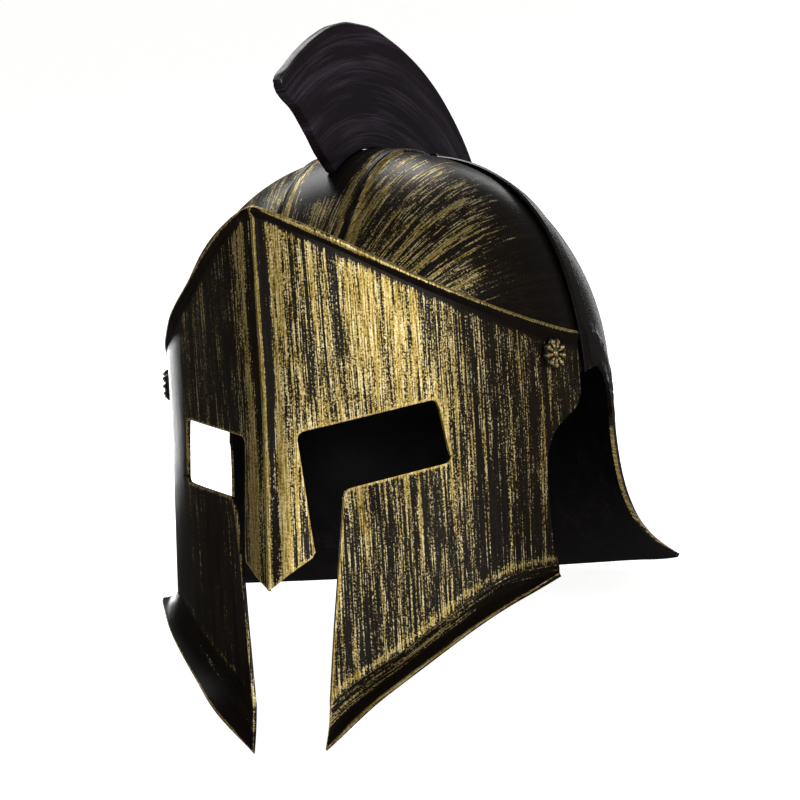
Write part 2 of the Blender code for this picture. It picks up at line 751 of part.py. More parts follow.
def tongue_box(name, angle, size, collection):
    """A box across the band at an angle, for a tongue or for the slot that takes it."""
    y, z = band_top(np.array([angle]))
    mesh = bpy.data.meshes.new(name)
    shape = bmesh.new()
    bmesh.ops.create_cube(shape, size=1.0)
    slope_y = -(SKULL_REAR if math.cos(angle) > 0 else SKULL_FRONT) * math.sin(angle)
    slope_z = SKULL_HEIGHT * math.cos(angle)
    lean = math.atan2(slope_z, slope_y)
    scale = Matrix.Diagonal((*(side * MM for side in size), 1.0))
    place = Matrix.Translation(Vector((0.0, y[0], z[0])) * MM)
    bmesh.ops.transform(shape, matrix=place @ Matrix.Rotation(lean, 4, "X") @ scale, verts=shape.verts)
    shape.to_mesh(mesh)
    shape.free()
    return add_object(name, mesh, collection)


def world_points(items):
    """Every corner of the finished pieces."""
    graph = bpy.context.evaluated_depsgraph_get()
    seen = [item.evaluated_get(graph) for item in items]
    return np.array([piece.matrix_world @ v.co for piece in seen for v in piece.data.vertices])


def rest_on_table(stand, ahead, behind, others):
    """Lean the helmet back until its lowest points ahead and behind both touch the table."""
    bpy.context.view_layer.update()
    points = [world_points(items) for items in (ahead, behind, others)]

    def heights(piece, pitch):
        return piece[:, 2] * math.cos(pitch) - piece[:, 1] * math.sin(pitch)

    low, high = (math.radians(limit) for limit in REST_PITCH_LIMITS_DEG)
    for _ in range(HALVINGS):
        pitch = 0.5 * (low + high)
        if heights(points[0], pitch).min() < heights(points[1], pitch).min():
            low = pitch
        else:
            high = pitch
    whole = np.concatenate(points)
    rise = heights(whole, pitch)
    along = whole[:, 1] * math.cos(pitch) + whole[:, 2] * math.sin(pitch)
    stand.rotation_euler = (-pitch, 0.0, 0.0)
    stand.location = (0.0, -0.5 * (along.min() + along.max()), -rise.min())
    bpy.context.view_layer.update()
    size = (np.ptp(whole[:, 0]), np.ptp(along), np.ptp(rise))
    place = np.round(stand.location, 6)
    print("pitch", round(math.degrees(pitch), 4), "place", place, "size", np.round(size, 4))


def build():
    """Make every piece, stand the helmet on the table and name its nodes."""
    for item in list(bpy.data.objects):
        bpy.data.objects.remove(item)
    parts = new_collection(HELMET)
    cutters = new_collection("cutters")

    brushed = make_material("dry_brushed_plastic", (0.05, 0.035, 0.02), 0.38, 0.2)
    dark = make_material("black_plastic", (0.012, 0.011, 0.012), 0.3, 0.0)
    purple = make_material("crest_plastic", (0.018, 0.012, 0.02), 0.28, 0.0)
    gold = make_material("gold_painted_plastic", (0.45, 0.32, 0.1), 0.35, 0.6)
    face = make_material("brushed_visor_plastic", (0.12, 0.085, 0.03), 0.38, 0.3)

    front = front_shell(parts, brushed)
    rear = rear_shell(parts, dark)
    mask = visor(parts, face)
    fin = crest(parts, purple)

    across = (-CUTTER_REACH, CUTTER_REACH)
    pinhole = cylinder("hinge_hole", HOLE_RADIUS, across, HINGE_Y, HINGE_Z, PIN_SIDES, cutters)
    make_cutter(pinhole, cutters)
    add_boolean(front, pinhole)
    add_boolean(mask, pinhole)
    rivets = [rivet("rivet_left", 1, parts, cutters, gold), rivet("rivet_right", -1, parts, cutters, gold)]

    ear = cylinder("ear_opening", ARCH_RADIUS, across, ARCH_Y, ARCH_Z, ARCH_SIDES, cutters)
    make_cutter(ear, cutters)
    add_boolean(rear, ear)
    wider = ARCH_RADIUS + SEAM_GAP
    clear = cylinder("ear_clearance", wider, across, ARCH_Y, ARCH_Z, ARCH_SIDES, cutters)
    make_cutter(clear, cutters)
    add_boolean(front, clear)

    for number, (angle, host) in enumerate(zip(np.radians(TONGUE_ANGLES_DEG), (front, rear))):
        size = (CREST_THICK, TONGUE_LENGTH, 2 * TONGUE_DEPTH)
        slot_size = (CREST_THICK + 2 * TONGUE_PLAY, TONGUE_LENGTH + 2 * TONGUE_PLAY, 4 * TONGUE_DEPTH)
        tongue = tongue_box(f"tongue_{number}", angle, size, cutters)
        slot = tongue_box(f"slot_{number}", angle, slot_size, cutters)
        make_cutter(tongue, cutters)
        make_cutter(slot, cutters)
        add_boolean(fin, tongue, "UNION")
        add_boolean(host, slot)

    for item in [front, rear, mask] + rivets:
        item.data.shade_smooth()
        item.data.set_sharp_from_angle(angle=math.radians(SHARP_ANGLE_DEG))

    stand = bpy.data.objects.new("rest", None)
    hinge = bpy.data.objects.new("hinge", None)
    for empty in (stand, hinge):
        parts.objects.link(empty)
    axis = Vector((0.0, HINGE_Y, HINGE_Z)) * MM
    hinge.parent = stand
    hinge.location = axis
    for item in [mask] + rivets:
        item.parent = hinge
        item.location = -axis
    for item in [front, rear, fin] + list(cutters.objects):
        item.parent = stand
    rest_on_table(stand, [mask], [rear], [front, fin] + rivets)


build()
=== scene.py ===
# %% [markdown]
# # A gladiator costume helmet
# The real helmet is moulded from thin black styrene plastic. A painter then drags an almost dry
# brush of gold over it, so the gold catches the edges and leaves long bristle streaks. Each
# shell is thin and bends two ways. We work every one out as a numpy surface, give it its wall
# with Solidify, and let shader nodes paint the brush strokes along the surface.
#
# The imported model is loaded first. It fixes the size, and the body that each piece moves with.

import json
import math

import bmesh
import bpy
import numpy as np
from mathutils import Matrix, Vector


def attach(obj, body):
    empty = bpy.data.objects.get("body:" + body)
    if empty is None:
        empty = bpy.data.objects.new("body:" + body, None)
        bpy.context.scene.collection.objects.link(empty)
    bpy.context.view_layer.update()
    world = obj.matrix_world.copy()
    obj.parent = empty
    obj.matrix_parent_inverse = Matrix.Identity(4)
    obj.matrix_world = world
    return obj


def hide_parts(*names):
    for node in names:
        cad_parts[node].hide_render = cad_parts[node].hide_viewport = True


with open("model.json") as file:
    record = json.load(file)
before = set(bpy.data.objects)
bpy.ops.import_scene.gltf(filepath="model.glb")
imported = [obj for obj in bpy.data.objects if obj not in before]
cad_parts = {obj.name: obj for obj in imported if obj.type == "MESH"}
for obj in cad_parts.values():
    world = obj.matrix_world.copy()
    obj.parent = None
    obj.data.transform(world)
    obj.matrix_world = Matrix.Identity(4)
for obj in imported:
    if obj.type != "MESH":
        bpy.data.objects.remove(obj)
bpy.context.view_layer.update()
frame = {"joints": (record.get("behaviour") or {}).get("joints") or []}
MM = 0.001

# %% [markdown]
# ## The worn position
# It is easier to think of a helmet the way it is worn, so every surface below is drawn in a
# head frame in millimetres: X to the wearer's left, Y to the back, Z up. On a table the helmet
# leans back on its cheek tips and neck guard. One turn about X and one shift, taken from the
# visor's hinge, carry the drawing to where the solid model stands.

# %% From the head frame to the table
REST_PITCH_DEG = 14.6078
HINGE_Y = 2.4
HINGE_Z = 93.9
pitch = math.radians(REST_PITCH_DEG)
LEAN = np.array([
    [1.0, 0.0, 0.0],
    [0.0, math.cos(pitch), math.sin(pitch)],
    [0.0, -math.sin(pitch), math.cos(pitch)],
])
hinge = next(joint for joint in frame["joints"] if joint["name"] == "visor_hinge")
SHIFT = np.array(hinge["pos_m"]) - LEAN @ np.array([0.0, HINGE_Y, HINGE_Z]) * MM


def stand(points):
    """Head-frame millimetres to metres on the table: lean the points back, then shift them."""
    return np.asarray(points, dtype=float) @ LEAN.T * MM + SHIFT


def worn(points):
    """The way back: metres on the table to head-frame millimetres."""
    return (np.asarray(points, dtype=float) - SHIFT) @ LEAN / MM


print("the hinge, worn, in mm", np.round(worn(hinge["pos_m"]), 3))

# %% [markdown]
# ## Curve helpers
# A table of a few rows gives a shape's main sizes. `smooth` reads between the rows on a curve
# that never overshoots, so a flat stretch stays flat. `ease` is the soft step that blends one
# level into another, which is what a moulded plastic corner does. `rises` and `falls` lay that
# step out in millimetres, and `bell` is a soft bump round one line.

# %% Curve helpers


def ease(value):
    """A step from 0 to 1 with soft ends: 3t squared less 2t cubed."""
    value = np.clip(value, 0.0, 1.0)
    return value * value * (3.0 - 2.0 * value)


def rises(value, start, run):
    """The soft step laid out in millimetres: it starts to rise at start and takes run."""
    return ease((value - start) / run)


def falls(value, end, run):
    """The same step the other way round: full well below end, and gone from end on."""
    return ease((end - value) / run)


def smooth(table, at, column=1):
    """Read a table between its rows with cubic pieces whose slopes are harmonic means."""
    rows = np.array(table, dtype=float)
    if rows[0, 0] > rows[-1, 0]:
        rows = rows[::-1]
    x, y = rows[:, 0], rows[:, column]
    slope = np.diff(y) / np.diff(x)
    mid = np.zeros_like(y)
    same_way = slope[1:] * slope[:-1] > 0
    total = np.where(same_way, slope[1:] + slope[:-1], 1.0)
    mid[1:-1] = np.where(same_way, 2.0 * slope[1:] * slope[:-1] / total, 0.0)
    mid[0], mid[-1] = slope[0], slope[-1]
    at = np.clip(np.asarray(at, dtype=float), x[0], x[-1])
    row = np.clip(np.searchsorted(x, at, side="right") - 1, 0, len(x) - 2)
    width = x[row + 1] - x[row]
    t = (at - x[row]) / width
    start = (2 * t**3 - 3 * t**2 + 1) * y[row] + (t**3 - 2 * t**2 + t) * width * mid[row]
    end = (3 * t**2 - 2 * t**3) * y[row + 1] + (t**3 - t**2) * width * mid[row + 1]
    return start + end


def bell(distance, width):
    """A soft bump: e to the minus (distance over width) squared."""
    return np.exp(-((distance / width) ** 2))


EDGE_LINES_MM = (0.5, 1.2, 2.4)
LINE_STEP_MM = 2.5


def spaced(length, step=LINE_STEP_MM):
    """Shares from 0 to 1: even steps, and three more lines close to each end for the edges."""
    near = np.array(EDGE_LINES_MM) / length
    inner = np.linspace(near[-1], 1.0 - near[-1], max(2, round(length / step)))[1:-1]
    return np.concatenate([[0.0], near, inner, (1.0 - near)[::-1], [1.0]])


# %% [markdown]
# ## From patches to a mesh
# A visor with slots is a set of patches that share edges, and each patch is a grid of points.
# Points that two patches share are found by rounding them and keeping one of each, all in
# numpy. Then the normals are worked out again. A wall is laid on the inner side later, so an
# open shell has to face away from the head.

# %% Patches to a mesh
HEAD_MIDDLE = np.array([0.0, 30.0, 90.0])
WELD_MM = 0.02


def both_sides(patches):
    """Every patch and its mirror image, whose columns run back so that its faces agree."""
    return list(patches) + [patch[:, ::-1] * np.array([-1.0, 1.0, 1.0]) for patch in patches]


def weld(patches):
    """Number every grid point, then keep one point of each rounded place."""
    points, faces, first = [], [], 0
    for patch in patches:
        rows, columns = patch.shape[:2]
        index = np.arange(rows * columns).reshape(rows, columns) + first
        corners = (index[:-1, :-1], index[1:, :-1], index[1:, 1:], index[:-1, 1:])
        faces.append(np.stack(corners, axis=-1).reshape(-1, 4))
        points.append(patch.reshape(-1, 3))
        first += rows * columns
    points = np.concatenate(points)
    places = np.round(points / WELD_MM).astype(np.int64)
    _, keep, number = np.unique(places, axis=0, return_index=True, return_inverse=True)
    return points[keep], number.reshape(-1)[np.concatenate(faces)]


def cut_edge(points, faces):
    """The points on an open edge: those of every edge that only one face uses."""
    edges = np.concatenate([faces[:, [k, (k + 1) % 4]] for k in range(4)])
    edges = np.sort(edges[edges[:, 0] != edges[:, 1]], axis=1)
    kinds, uses = np.unique(edges, axis=0, return_counts=True)
    return points[np.unique(kinds[uses == 1])]


def surface_mesh(name, patches, hollow):
    """Welded patches as a mesh that faces outwards; a hollow one faces away from the head."""
    points, faces = weld(patches)
    mesh = bpy.data.meshes.new(name)
    rings = [list(dict.fromkeys(face)) for face in faces.tolist()]
    mesh.from_pydata(stand(points).tolist(), [], [ring for ring in rings if len(ring) > 2])
    shape = bmesh.new()
    shape.from_mesh(mesh)
    bmesh.ops.recalc_face_normals(shape, faces=shape.faces)
    shape.to_mesh(mesh)
    shape.free()
    if hollow:
        centres, normals = np.zeros(3 * len(mesh.polygons)), np.zeros(3 * len(mesh.polygons))
        mesh.polygons.foreach_get("center", centres)
        mesh.polygons.foreach_get("normal", normals)
        outward = centres.reshape(-1, 3) - stand(HEAD_MIDDLE)
        if (outward * normals.reshape(-1, 3)).sum() < 0.0:
            mesh.flip_normals()
    return mesh


# %% [markdown]
# ## Colours and node helpers
# A shader colour has to be linear, but a maker picks colours as sRGB hex. One function turns
# the one into the other. `add_node` adds a node and sets it up, and `set_inputs` sets or links
# what goes into it. Sums of several patterns turn up again and again, so `blend` chains
# multiply-and-add nodes for them.

# %% Colour and node helpers
MIX_A, MIX_B, MIX_OUT = 6, 7, 2


def linear(hex_colour):
    """sRGB hex to linear RGBA: each channel over 255, then the sRGB curve undone."""
    value = np.array([int(hex_colour[i:i + 2], 16) for i in (1, 3, 5)]) / 255.0
    value = np.where(value <= 0.04045, value / 12.92, ((value + 0.055) / 1.055) ** 2.4)
    return (*value.tolist(), 1.0)


def set_inputs(tree, node, inputs):
    """Link each named or numbered input to a socket, or set it to a plain value."""
    for name, value in inputs.items():
        if isinstance(value, bpy.types.NodeSocket):
            tree.links.new(value, node.inputs[name])
        else:
            node.inputs[name].default_value = value


def add_node(tree, kind, inputs, **settings):
    """Add a node, set its properties, and give it its inputs."""
    node = tree.nodes.new(kind)
    for name, value in settings.items():
        setattr(node, name, value)
    set_inputs(tree, node, inputs)
    return node


def blend(tree, terms, plus=0.0):
    """A weighted sum of patterns: each one times its weight, added to what came before."""
    total = plus
    for pattern, weight in terms:
        node = add_node(tree, "ShaderNodeMath", {0: pattern, 1: weight, 2: total}, operation="MULTIPLY_ADD")
        total = node.outputs[0]
    return total


NOISE_ROUGHNESS = 0.62


def grain(tree, place, across_mm, along_mm, detail=2.0):
    """Noise stretched along the second axis, the brush's way: across_mm by along_mm a grain."""
    scale = (1.0 / (across_mm * MM), 1.0 / (along_mm * MM), 1.0 / (across_mm * MM))
    moved = add_node(tree, "ShaderNodeMapping", {"Vector": place, "Scale": scale})
    noise = add_node(tree, "ShaderNodeTexNoise", {
        "Vector": moved.outputs["Vector"], "Scale": 1.0, "Detail": detail, "Roughness": NOISE_ROUGHNESS,
    })
    return noise.outputs["Fac"]


# %% [markdown]
# ## Dry-brushed gold on black styrene
# Moulded styrene is black with an even soft gloss and an index of refraction near 1.59, so it
# keeps a clear highlight. Dry brushing leaves three marks: bristle streaks a millimetre or less
# wide and several centimetres long, broken spots where the bristles skip, and bare patches
# where the brush ran out. Noise stretched along the stroke gives all three. Each piece carries
# a brush attribute (across and along the stroke) and a wear attribute, which adds gold on edges
# and takes it away in hollows that the brush can't reach. On the visor the same attribute also
# carries painted light: less gold on the wearer's right half as painted shade, and a full line
# of gold down the ridge as a painted highlight.

# %% The dry-brushed plastic
STYRENE_IOR = 1.59
BLACK = "#0a0808"
BLACK_WARM = "#150f0b"
GOLD_RAMP = (
    # place on the ramp, colour from dull to pale gold
    (0.34, "#6b5826"),
    (0.50, "#b79b4c"),
    (0.70, "#ece0b4"),
)
STREAKS, BRISTLES, PATCHES = 1.6, 1.0, 0.9
BRISTLE_WIDTH, BRISTLE_RUN = 0.5, 0.2
PATCH_MM = (5.0, 80.0)
GRIT_MM = (0.9, 0.9)
COVER_NONE, COVER_RANGE = 0.3, 0.6
PAINT_EDGE = 0.2
PAINT_METAL = 0.8
WASH_EDGE = 0.75
WASH = 0.012
BUMP_MM = 0.15


def styrene(name, shine):
    """A material for moulded styrene, with its node tree and its shader."""
    material = bpy.data.materials.new(name)
    material.use_nodes = True
    shader = material.node_tree.nodes["Principled BSDF"]
    set_inputs(material.node_tree, shader, {"IOR": STYRENE_IOR, "Specular IOR Level": shine})
    return material, material.node_tree, shader


def dry_brushed(name, coverage, streak_mm=1.3, run_mm=70.0, gloss=0.42, grit_weight=0.7, shine=0.5):
    """Black plastic with gold dragged over it; coverage moves the level that takes paint."""
    material, tree, shader = styrene(name, shine)
    brush = add_node(tree, "ShaderNodeAttribute", {}, attribute_name="brush").outputs["Vector"]
    wear_and_painted_light = add_node(tree, "ShaderNodeAttribute", {}, attribute_name="wear_and_painted_light").outputs["Fac"]
    place = add_node(tree, "ShaderNodeTexCoord", {}).outputs["Object"]

    streaks = grain(tree, brush, streak_mm, run_mm, detail=3.0)
    bristles = grain(tree, brush, BRISTLE_WIDTH * streak_mm, BRISTLE_RUN * run_mm)
    patches = grain(tree, brush, *PATCH_MM)
    grit = grain(tree, place, *GRIT_MM)
    level = blend(tree, (
        (streaks, STREAKS), (bristles, BRISTLES), (patches, PATCHES), (grit, grit_weight), (wear_and_painted_light, 1.0),
    ))
    middle = 0.5 * (STREAKS + BRISTLES + PATCHES + grit_weight)
    start = middle + COVER_NONE - COVER_RANGE * coverage
    paint, wash = (
        add_node(tree, "ShaderNodeMapRange", {
            "Value": level, "From Min": low, "From Max": high, "To Max": most,
        }, interpolation_type="SMOOTHSTEP").outputs["Result"]
        for low, high, most in ((start, start + PAINT_EDGE, 1.0), (start - WASH_EDGE, start, WASH))
    )

    shade = blend(tree, ((bristles, 0.9), (grit, 0.6), (streaks, -0.2)), plus=-0.15)
    ramp_node = add_node(tree, "ShaderNodeValToRGB", {"Fac": shade})
    gold, ramp = ramp_node.outputs["Color"], ramp_node.color_ramp.elements
    ramp.new(GOLD_RAMP[1][0])
    for stop, (place_on_ramp, colour) in zip(ramp, GOLD_RAMP):
        stop.position, stop.color = place_on_ramp, linear(colour)
    colour = linear(BLACK)
    for amount, over in ((patches, linear(BLACK_WARM)), (wash, gold), (paint, gold)):
        colour = add_node(tree, "ShaderNodeMix", {
            0: amount, MIX_A: colour, MIX_B: over,
        }, data_type="RGBA").outputs[MIX_OUT]
    height = blend(tree, ((paint, 0.6), (grit, 0.4), (bristles, 0.5)))
    bump = add_node(tree, "ShaderNodeBump", {"Height": height, "Strength": 0.5, "Distance": BUMP_MM * MM})
    set_inputs(tree, shader, {
        "Base Color": colour,
        "Metallic": blend(tree, ((paint, PAINT_METAL),)),
        "Roughness": blend(tree, ((grit, 0.2), (paint, 0.12)), plus=gloss - 0.1),
        "Normal": bump.outputs["Normal"],
    })
    return material


# %% [markdown]
# ## Bare black plastic
# Inside the shells and on the crest there is no gold. Moulded plastic is never a perfect black
# mirror: it has a faint orange-peel ripple a few millimetres wide, and handling leaves fine
# scuffs that show paler. On the crest the scuffs follow its sweep, so they use the brush
# attribute. Inside, a Mapping node turns them askew.

# %% The bare plastic
RIPPLE_MM = (9.0, 9.0)
CLOUD_MM = (9.0, 70.0)
SCUFF_TURN = (0.5, 0.9, 0.3)
SCUFF_SHARE = 0.6
SCUFF_LEVELS = (0.58, 0.85)
SCUFF_MOST = 0.6
RIPPLE_DEPTH_MM = 0.2


def moulded_plastic(name, colour, scuff_colour, gloss, scuff_mm=(1.4, 24.0), shine=0.5, brushed=False):
    """One moulded colour, with a ripple in its surface and long pale scuffs."""
    material, tree, shader = styrene(name, shine)
    place = add_node(tree, "ShaderNodeTexCoord", {}).outputs["Object"]
    if brushed:
        lay = add_node(tree, "ShaderNodeAttribute", {}, attribute_name="brush")
    else:
        lay = add_node(tree, "ShaderNodeMapping", {"Vector": place, "Rotation": SCUFF_TURN})
    ripple = grain(tree, place, *RIPPLE_MM)
    scratch = grain(tree, lay.outputs["Vector"], *scuff_mm, detail=3.0)
    clouds = grain(tree, lay.outputs["Vector"], *CLOUD_MM)
    level = blend(tree, ((scratch, SCUFF_SHARE), (clouds, SCUFF_SHARE)))
    marks = add_node(tree, "ShaderNodeMapRange", {
        "Value": level, "From Min": SCUFF_LEVELS[0], "From Max": SCUFF_LEVELS[1], "To Max": SCUFF_MOST,
    }).outputs["Result"]
    tint = add_node(tree, "ShaderNodeMix", {
        0: marks, MIX_A: linear(colour), MIX_B: linear(scuff_colour),
    }, data_type="RGBA")
    bump = add_node(tree, "ShaderNodeBump", {
        "Height": ripple, "Strength": 0.25, "Distance": RIPPLE_DEPTH_MM * MM,
    })
    set_inputs(tree, shader, {
        "Base Color": tint.outputs[MIX_OUT],
        "Roughness": blend(tree, ((marks, 0.4), (ripple, 0.1)), plus=gloss - 0.05),
        "Normal": bump.outputs["Normal"],
    })
    return material


visor_paint = dry_brushed(
    "dry_brushed_visor", 0.55, streak_mm=1.1, run_mm=95.0, gloss=0.33, grit_weight=1.0, shine=0.07
)
dome_paint = dry_brushed("dry_brushed_dome", 0.5, streak_mm=1.5, run_mm=50.0, gloss=0.3, shine=0.2)
back_paint = dry_brushed("dry_brushed_back", 0.3, gloss=0.28, shine=0.35)
rosette_paint = dry_brushed("gold_rubbed_rosette", 0.7, streak_mm=1.0, run_mm=3.0, gloss=0.34)
crest_paint = moulded_plastic(
    "scuffed_crest", "#150e14", "#4a4250", 0.3, scuff_mm=(0.9, 45.0), brushed=True
)
inner_plastic = moulded_plastic("inner_plastic", "#080606", "#171214", 0.55, shine=0.15)
print("materials", len(bpy.data.materials))

# %% [markdown]
# ## Finishing a piece
# A real shell is one thin wall. Solidify lays that wall on the inner side of our surface, and
# gives the inner faces the second material, which is bare plastic. A Boolean cuts the ear
# arches. On the visor, Bevel rounds the cut edges by nearly half a millimetre, so that they
# catch a line of light. The result is kept as a plain mesh. Only then are the brush and the
# wear, with the painted light it carries, worked out, from where each finished point lies.

# %% Make a piece
SHELL_WALL = 1.6
SHARP_DEG = 38.0
BEVEL_FROM_DEG = 50.0
BLOCK = 2000
BAR_SIDES = 96
BAR_REACH = 130.0


def distance_to(points, targets):
    """The distance from each point to the nearest target, in blocks to spare memory."""
    blocks = np.array_split(points, len(points) // BLOCK + 1)
    return np.concatenate([
        np.linalg.norm(block[:, None] - targets[None], axis=-1).min(axis=1) for block in blocks
    ])


def finish_mesh(item):
    """Swap an object's mesh for what its modifiers made of it, shaded smooth between creases."""
    graph = bpy.context.evaluated_depsgraph_get()
    made = bpy.data.meshes.new_from_object(item.evaluated_get(graph))
    item.modifiers.clear()
    item.data = made
    made.shade_smooth()
    made.set_sharp_from_angle(angle=math.radians(SHARP_DEG))


def set_paint(mesh, brush_wear_and_painted_light):
    """Write the brush's place in metres and the wear, with its painted light, at every point of a finished
    mesh.
    """
    points = np.zeros(3 * len(mesh.vertices))
    mesh.vertices.foreach_get("co", points)
    across, along, wear_and_painted_light = brush_wear_and_painted_light(worn(points.reshape(-1, 3)))
    brush = np.stack([across * MM, along * MM, 0.0 * across], axis=-1).astype(np.float32)
    mesh.attributes.new("brush", "FLOAT_VECTOR", "POINT").data.foreach_set("vector", brush.ravel())
    wear_and_painted_light = wear_and_painted_light.astype(np.float32)
    mesh.attributes.new("wear_and_painted_light", "FLOAT", "POINT").data.foreach_set("value", wear_and_painted_light)


def add_object(name, data):
    """An object for a mesh, a lamp or a camera, linked to the scene."""
    item = bpy.data.objects.new(name, data)
    bpy.context.scene.collection.objects.link(item)
    return item


def make_piece(name, patches, materials, owner, paint, wall=0.0, edge=0.0, cutter=None):
    """Build a piece with its wall, cut and edges, and say what it rides with and stands for."""
    body, node, slot = owner
    item = add_object(name, surface_mesh(name, patches, hollow=wall > 0.0))
    for material in materials:
        item.data.materials.append(material)
    if wall:
        solid = item.modifiers.new("wall", "SOLIDIFY")
        solid.thickness = wall * MM
        solid.offset = -1.0
        solid.use_even_offset = True
        solid.material_offset = 1
    if cutter:
        cut = item.modifiers.new("cut", "BOOLEAN")
        cut.object = cutter
        cut.solver = "EXACT"
    if edge:
        bevel = item.modifiers.new("edge", "BEVEL")
        bevel.width = edge * MM
        bevel.segments = 2
        bevel.limit_method = "ANGLE"
        bevel.angle_limit = math.radians(BEVEL_FROM_DEG)
    finish_mesh(item)
    set_paint(item.data, paint)
    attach(item, body)
    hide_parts(node)
    print(name, len(item.data.polygons), "faces")


def bar_along_x(name, radius, y, z):
    """A plain bar across the whole helmet, to cut openings with."""
    mesh = bpy.data.meshes.new(name)
    shape = bmesh.new()
    centre = Matrix.Translation(Vector(stand([0.0, y, z])))
    bmesh.ops.create_cone(
        shape, cap_ends=True, segments=BAR_SIDES, radius1=radius * MM, radius2=radius * MM,
        depth=2 * BAR_REACH * MM, matrix=centre @ Matrix.Rotation(math.pi / 2, 4, "Y"),
    )
    shape.to_mesh(mesh)
    shape.free()
    return add_object(name, mesh)


# %% [markdown]
# ## The skull's shape
# Front and back shells follow one form: a slightly square ellipsoid. Cut it with planes beside
# the middle plane and every slice is a smaller copy of the middle one, so a point needs only
# the slice's size and an angle round it, from straight back, over the crown, to straight ahead.

# %% Skull form
SKULL_HALF_WIDTH = 96.0
SKULL_FRONT = 98.0
SKULL_REAR = 125.7
SKULL_HEIGHT = 116.8
SKULL_POWER = 2.25
BROW_POWER = 2.13
BROW_SLIMS_DEG = (110.0, 160.0)
SKULL_CENTRE_Y = 32.0
SKULL_CENTRE_Z = 78.0
NAPE_TUCK = 17.5
NAPE_TOP_Z = 135.0
NAPE_FADE = 98.0
SEAM_GAP = 0.3
LAP = SHELL_WALL + SEAM_GAP
SEAM_Y = 36.0
SEAM_BEND_Z = 110.0
SEAM_BEND = 0.0032
SEAM_SEARCH = 0.75 * math.pi
HALVINGS = 40


def width_share(share, power=SKULL_POWER):
    """A slice's place as a share of the half width: (1 - size^p)^(1/p), and the same back."""
    return (1.0 - np.clip(share, 0.0, 1.0) ** power) ** (1.0 / power)


def nape_tuck(z):
    """How far the back draws in towards the nape, as a soft step down the height."""
    return NAPE_TUCK * falls(z, NAPE_TOP_Z, NAPE_FADE)


def skull_point(share, angle, grow=0.0):
    """Each slice is an ellipse of its own size: height by sine, length by cosine."""
    start, end = np.radians(BROW_SLIMS_DEG)
    power = SKULL_POWER + (BROW_POWER - SKULL_POWER) * rises(angle, start, end - start)
    x = (SKULL_HALF_WIDTH + grow) * width_share(share, power)
    z = SKULL_CENTRE_Z + (SKULL_HEIGHT + grow) * share * np.sin(angle)
    length = np.where(np.cos(angle) > 0.0, SKULL_REAR - nape_tuck(z), SKULL_FRONT)
    return np.stack([x, SKULL_CENTRE_Y + (length + grow) * share * np.cos(angle), z], axis=-1)


def skull_turn(points):
    """The way back to the angle round a slice, from a point's y and z."""
    ahead = points[:, 1] - SKULL_CENTRE_Y
    up = (points[:, 2] - SKULL_CENTRE_Z) / SKULL_HEIGHT
    ahead = ahead / np.where(ahead > 0.0, SKULL_REAR - nape_tuck(points[:, 2]), SKULL_FRONT)
    return np.arctan2(up, ahead)


def seam_y(z):
    """The back shell's front edge leans back towards the crown, as a parabola in height."""
    return SEAM_Y + SEAM_BEND * np.maximum(z - SEAM_BEND_Z, 0.0) ** 2


def halve(low, high, falls_short):
    """Halve each range again and again, towards the place where falls_short stops being true."""
    for _ in range(HALVINGS):
        middle = 0.5 * (low + high)
        short = falls_short(middle)
        low, high = np.where(short, middle, low), np.where(short, high, middle)
    return 0.5 * (low + high)


def seam_angle(share, grow, beyond):
    """The angle at which each slice meets the seam, moved back by beyond."""
    def behind(angle):
        point = skull_point(share, angle, grow)
        return point[..., 1] > seam_y(point[..., 2]) + beyond

    return halve(np.zeros_like(share), np.full_like(share, SEAM_SEARCH), behind)


# %% [markdown]
# ## Raised bands
# A band 44 mm wide runs from brow to nape, and a narrower one crosses the crown from ear to
# ear. A moulded band has a soft step at its edge and a shallow groove just inside it. Columns
# crowd together at the step, or the step would blur.

# %% Band profile and columns
BAND_HALF_WIDTH = 22.0
BAND_RAISE = 1.6
BAND_STEP = 1.3
GROOVE_INSET = 3.6
GROOVE_DEPTH = 0.5
GROOVE_WIDTH = 0.9
FLAT_END, FINE_START, FINE_PAST = 6.0, 5.5, 1.0
FLAT_SLICES, FINE_SLICES, SIDE_SLICES, EAR_SLICES = 9, 18, 40, 9


def band_profile(distance, half_width, raise_by):
    """Height against distance from the middle: a soft step less a narrow bell for the groove."""
    step = 1.0 - ease((distance - half_width + BAND_STEP) / BAND_STEP)
    return raise_by * step - GROOVE_DEPTH * bell(distance - half_width + GROOVE_INSET, GROOVE_WIDTH)


def slice_sizes(half_width, edge_share, ear_share):
    """Sizes of the slices from the middle to the ear, close together at the band's edge."""
    flat = np.linspace(0.0, half_width - FLAT_END, FLAT_SLICES)
    fine = np.linspace(half_width - FINE_START, half_width + FINE_PAST, FINE_SLICES)
    band = width_share(np.concatenate([flat, fine]) / SKULL_HALF_WIDTH)
    side = np.cos(np.linspace(math.acos(band[-1]), math.acos(edge_share), SIDE_SLICES))[1:]
    ear = np.linspace(edge_share, ear_share, EAR_SLICES + 1)[1:]
    return np.concatenate([band, side, ear])


# %% [markdown]
# ## The front shell
# Brow and crown. The brush ran from the crown forward to the brow. Its strokes fan like lines
# of longitude whose poles are the brow and the nape: straight over the crown in the middle, and
# nearly level down at the sides. It was lifted near the seam, so the crown stays almost bare.

# %% Front shell
FRONT_BAND = BAND_HALF_WIDTH - 0.8
SEAM_OVERLAP = 10.0
BROW_ANGLE_DEG = 175.0
FRONT_EDGE_SHARE, FRONT_EAR_SHARE = 0.3, 0.04
FRONT_ROWS = 90
STROKE_RADIUS = 110.0
ARCH_Y = 46.3
ARCH_Z = 70.0
ARCH_RADIUS = 18.9
CREST_CORNER_DEG = 131.0
CREST_CORNER_PATCH_HALF = 7.0
BAND_STROKE_INSET = 6.2


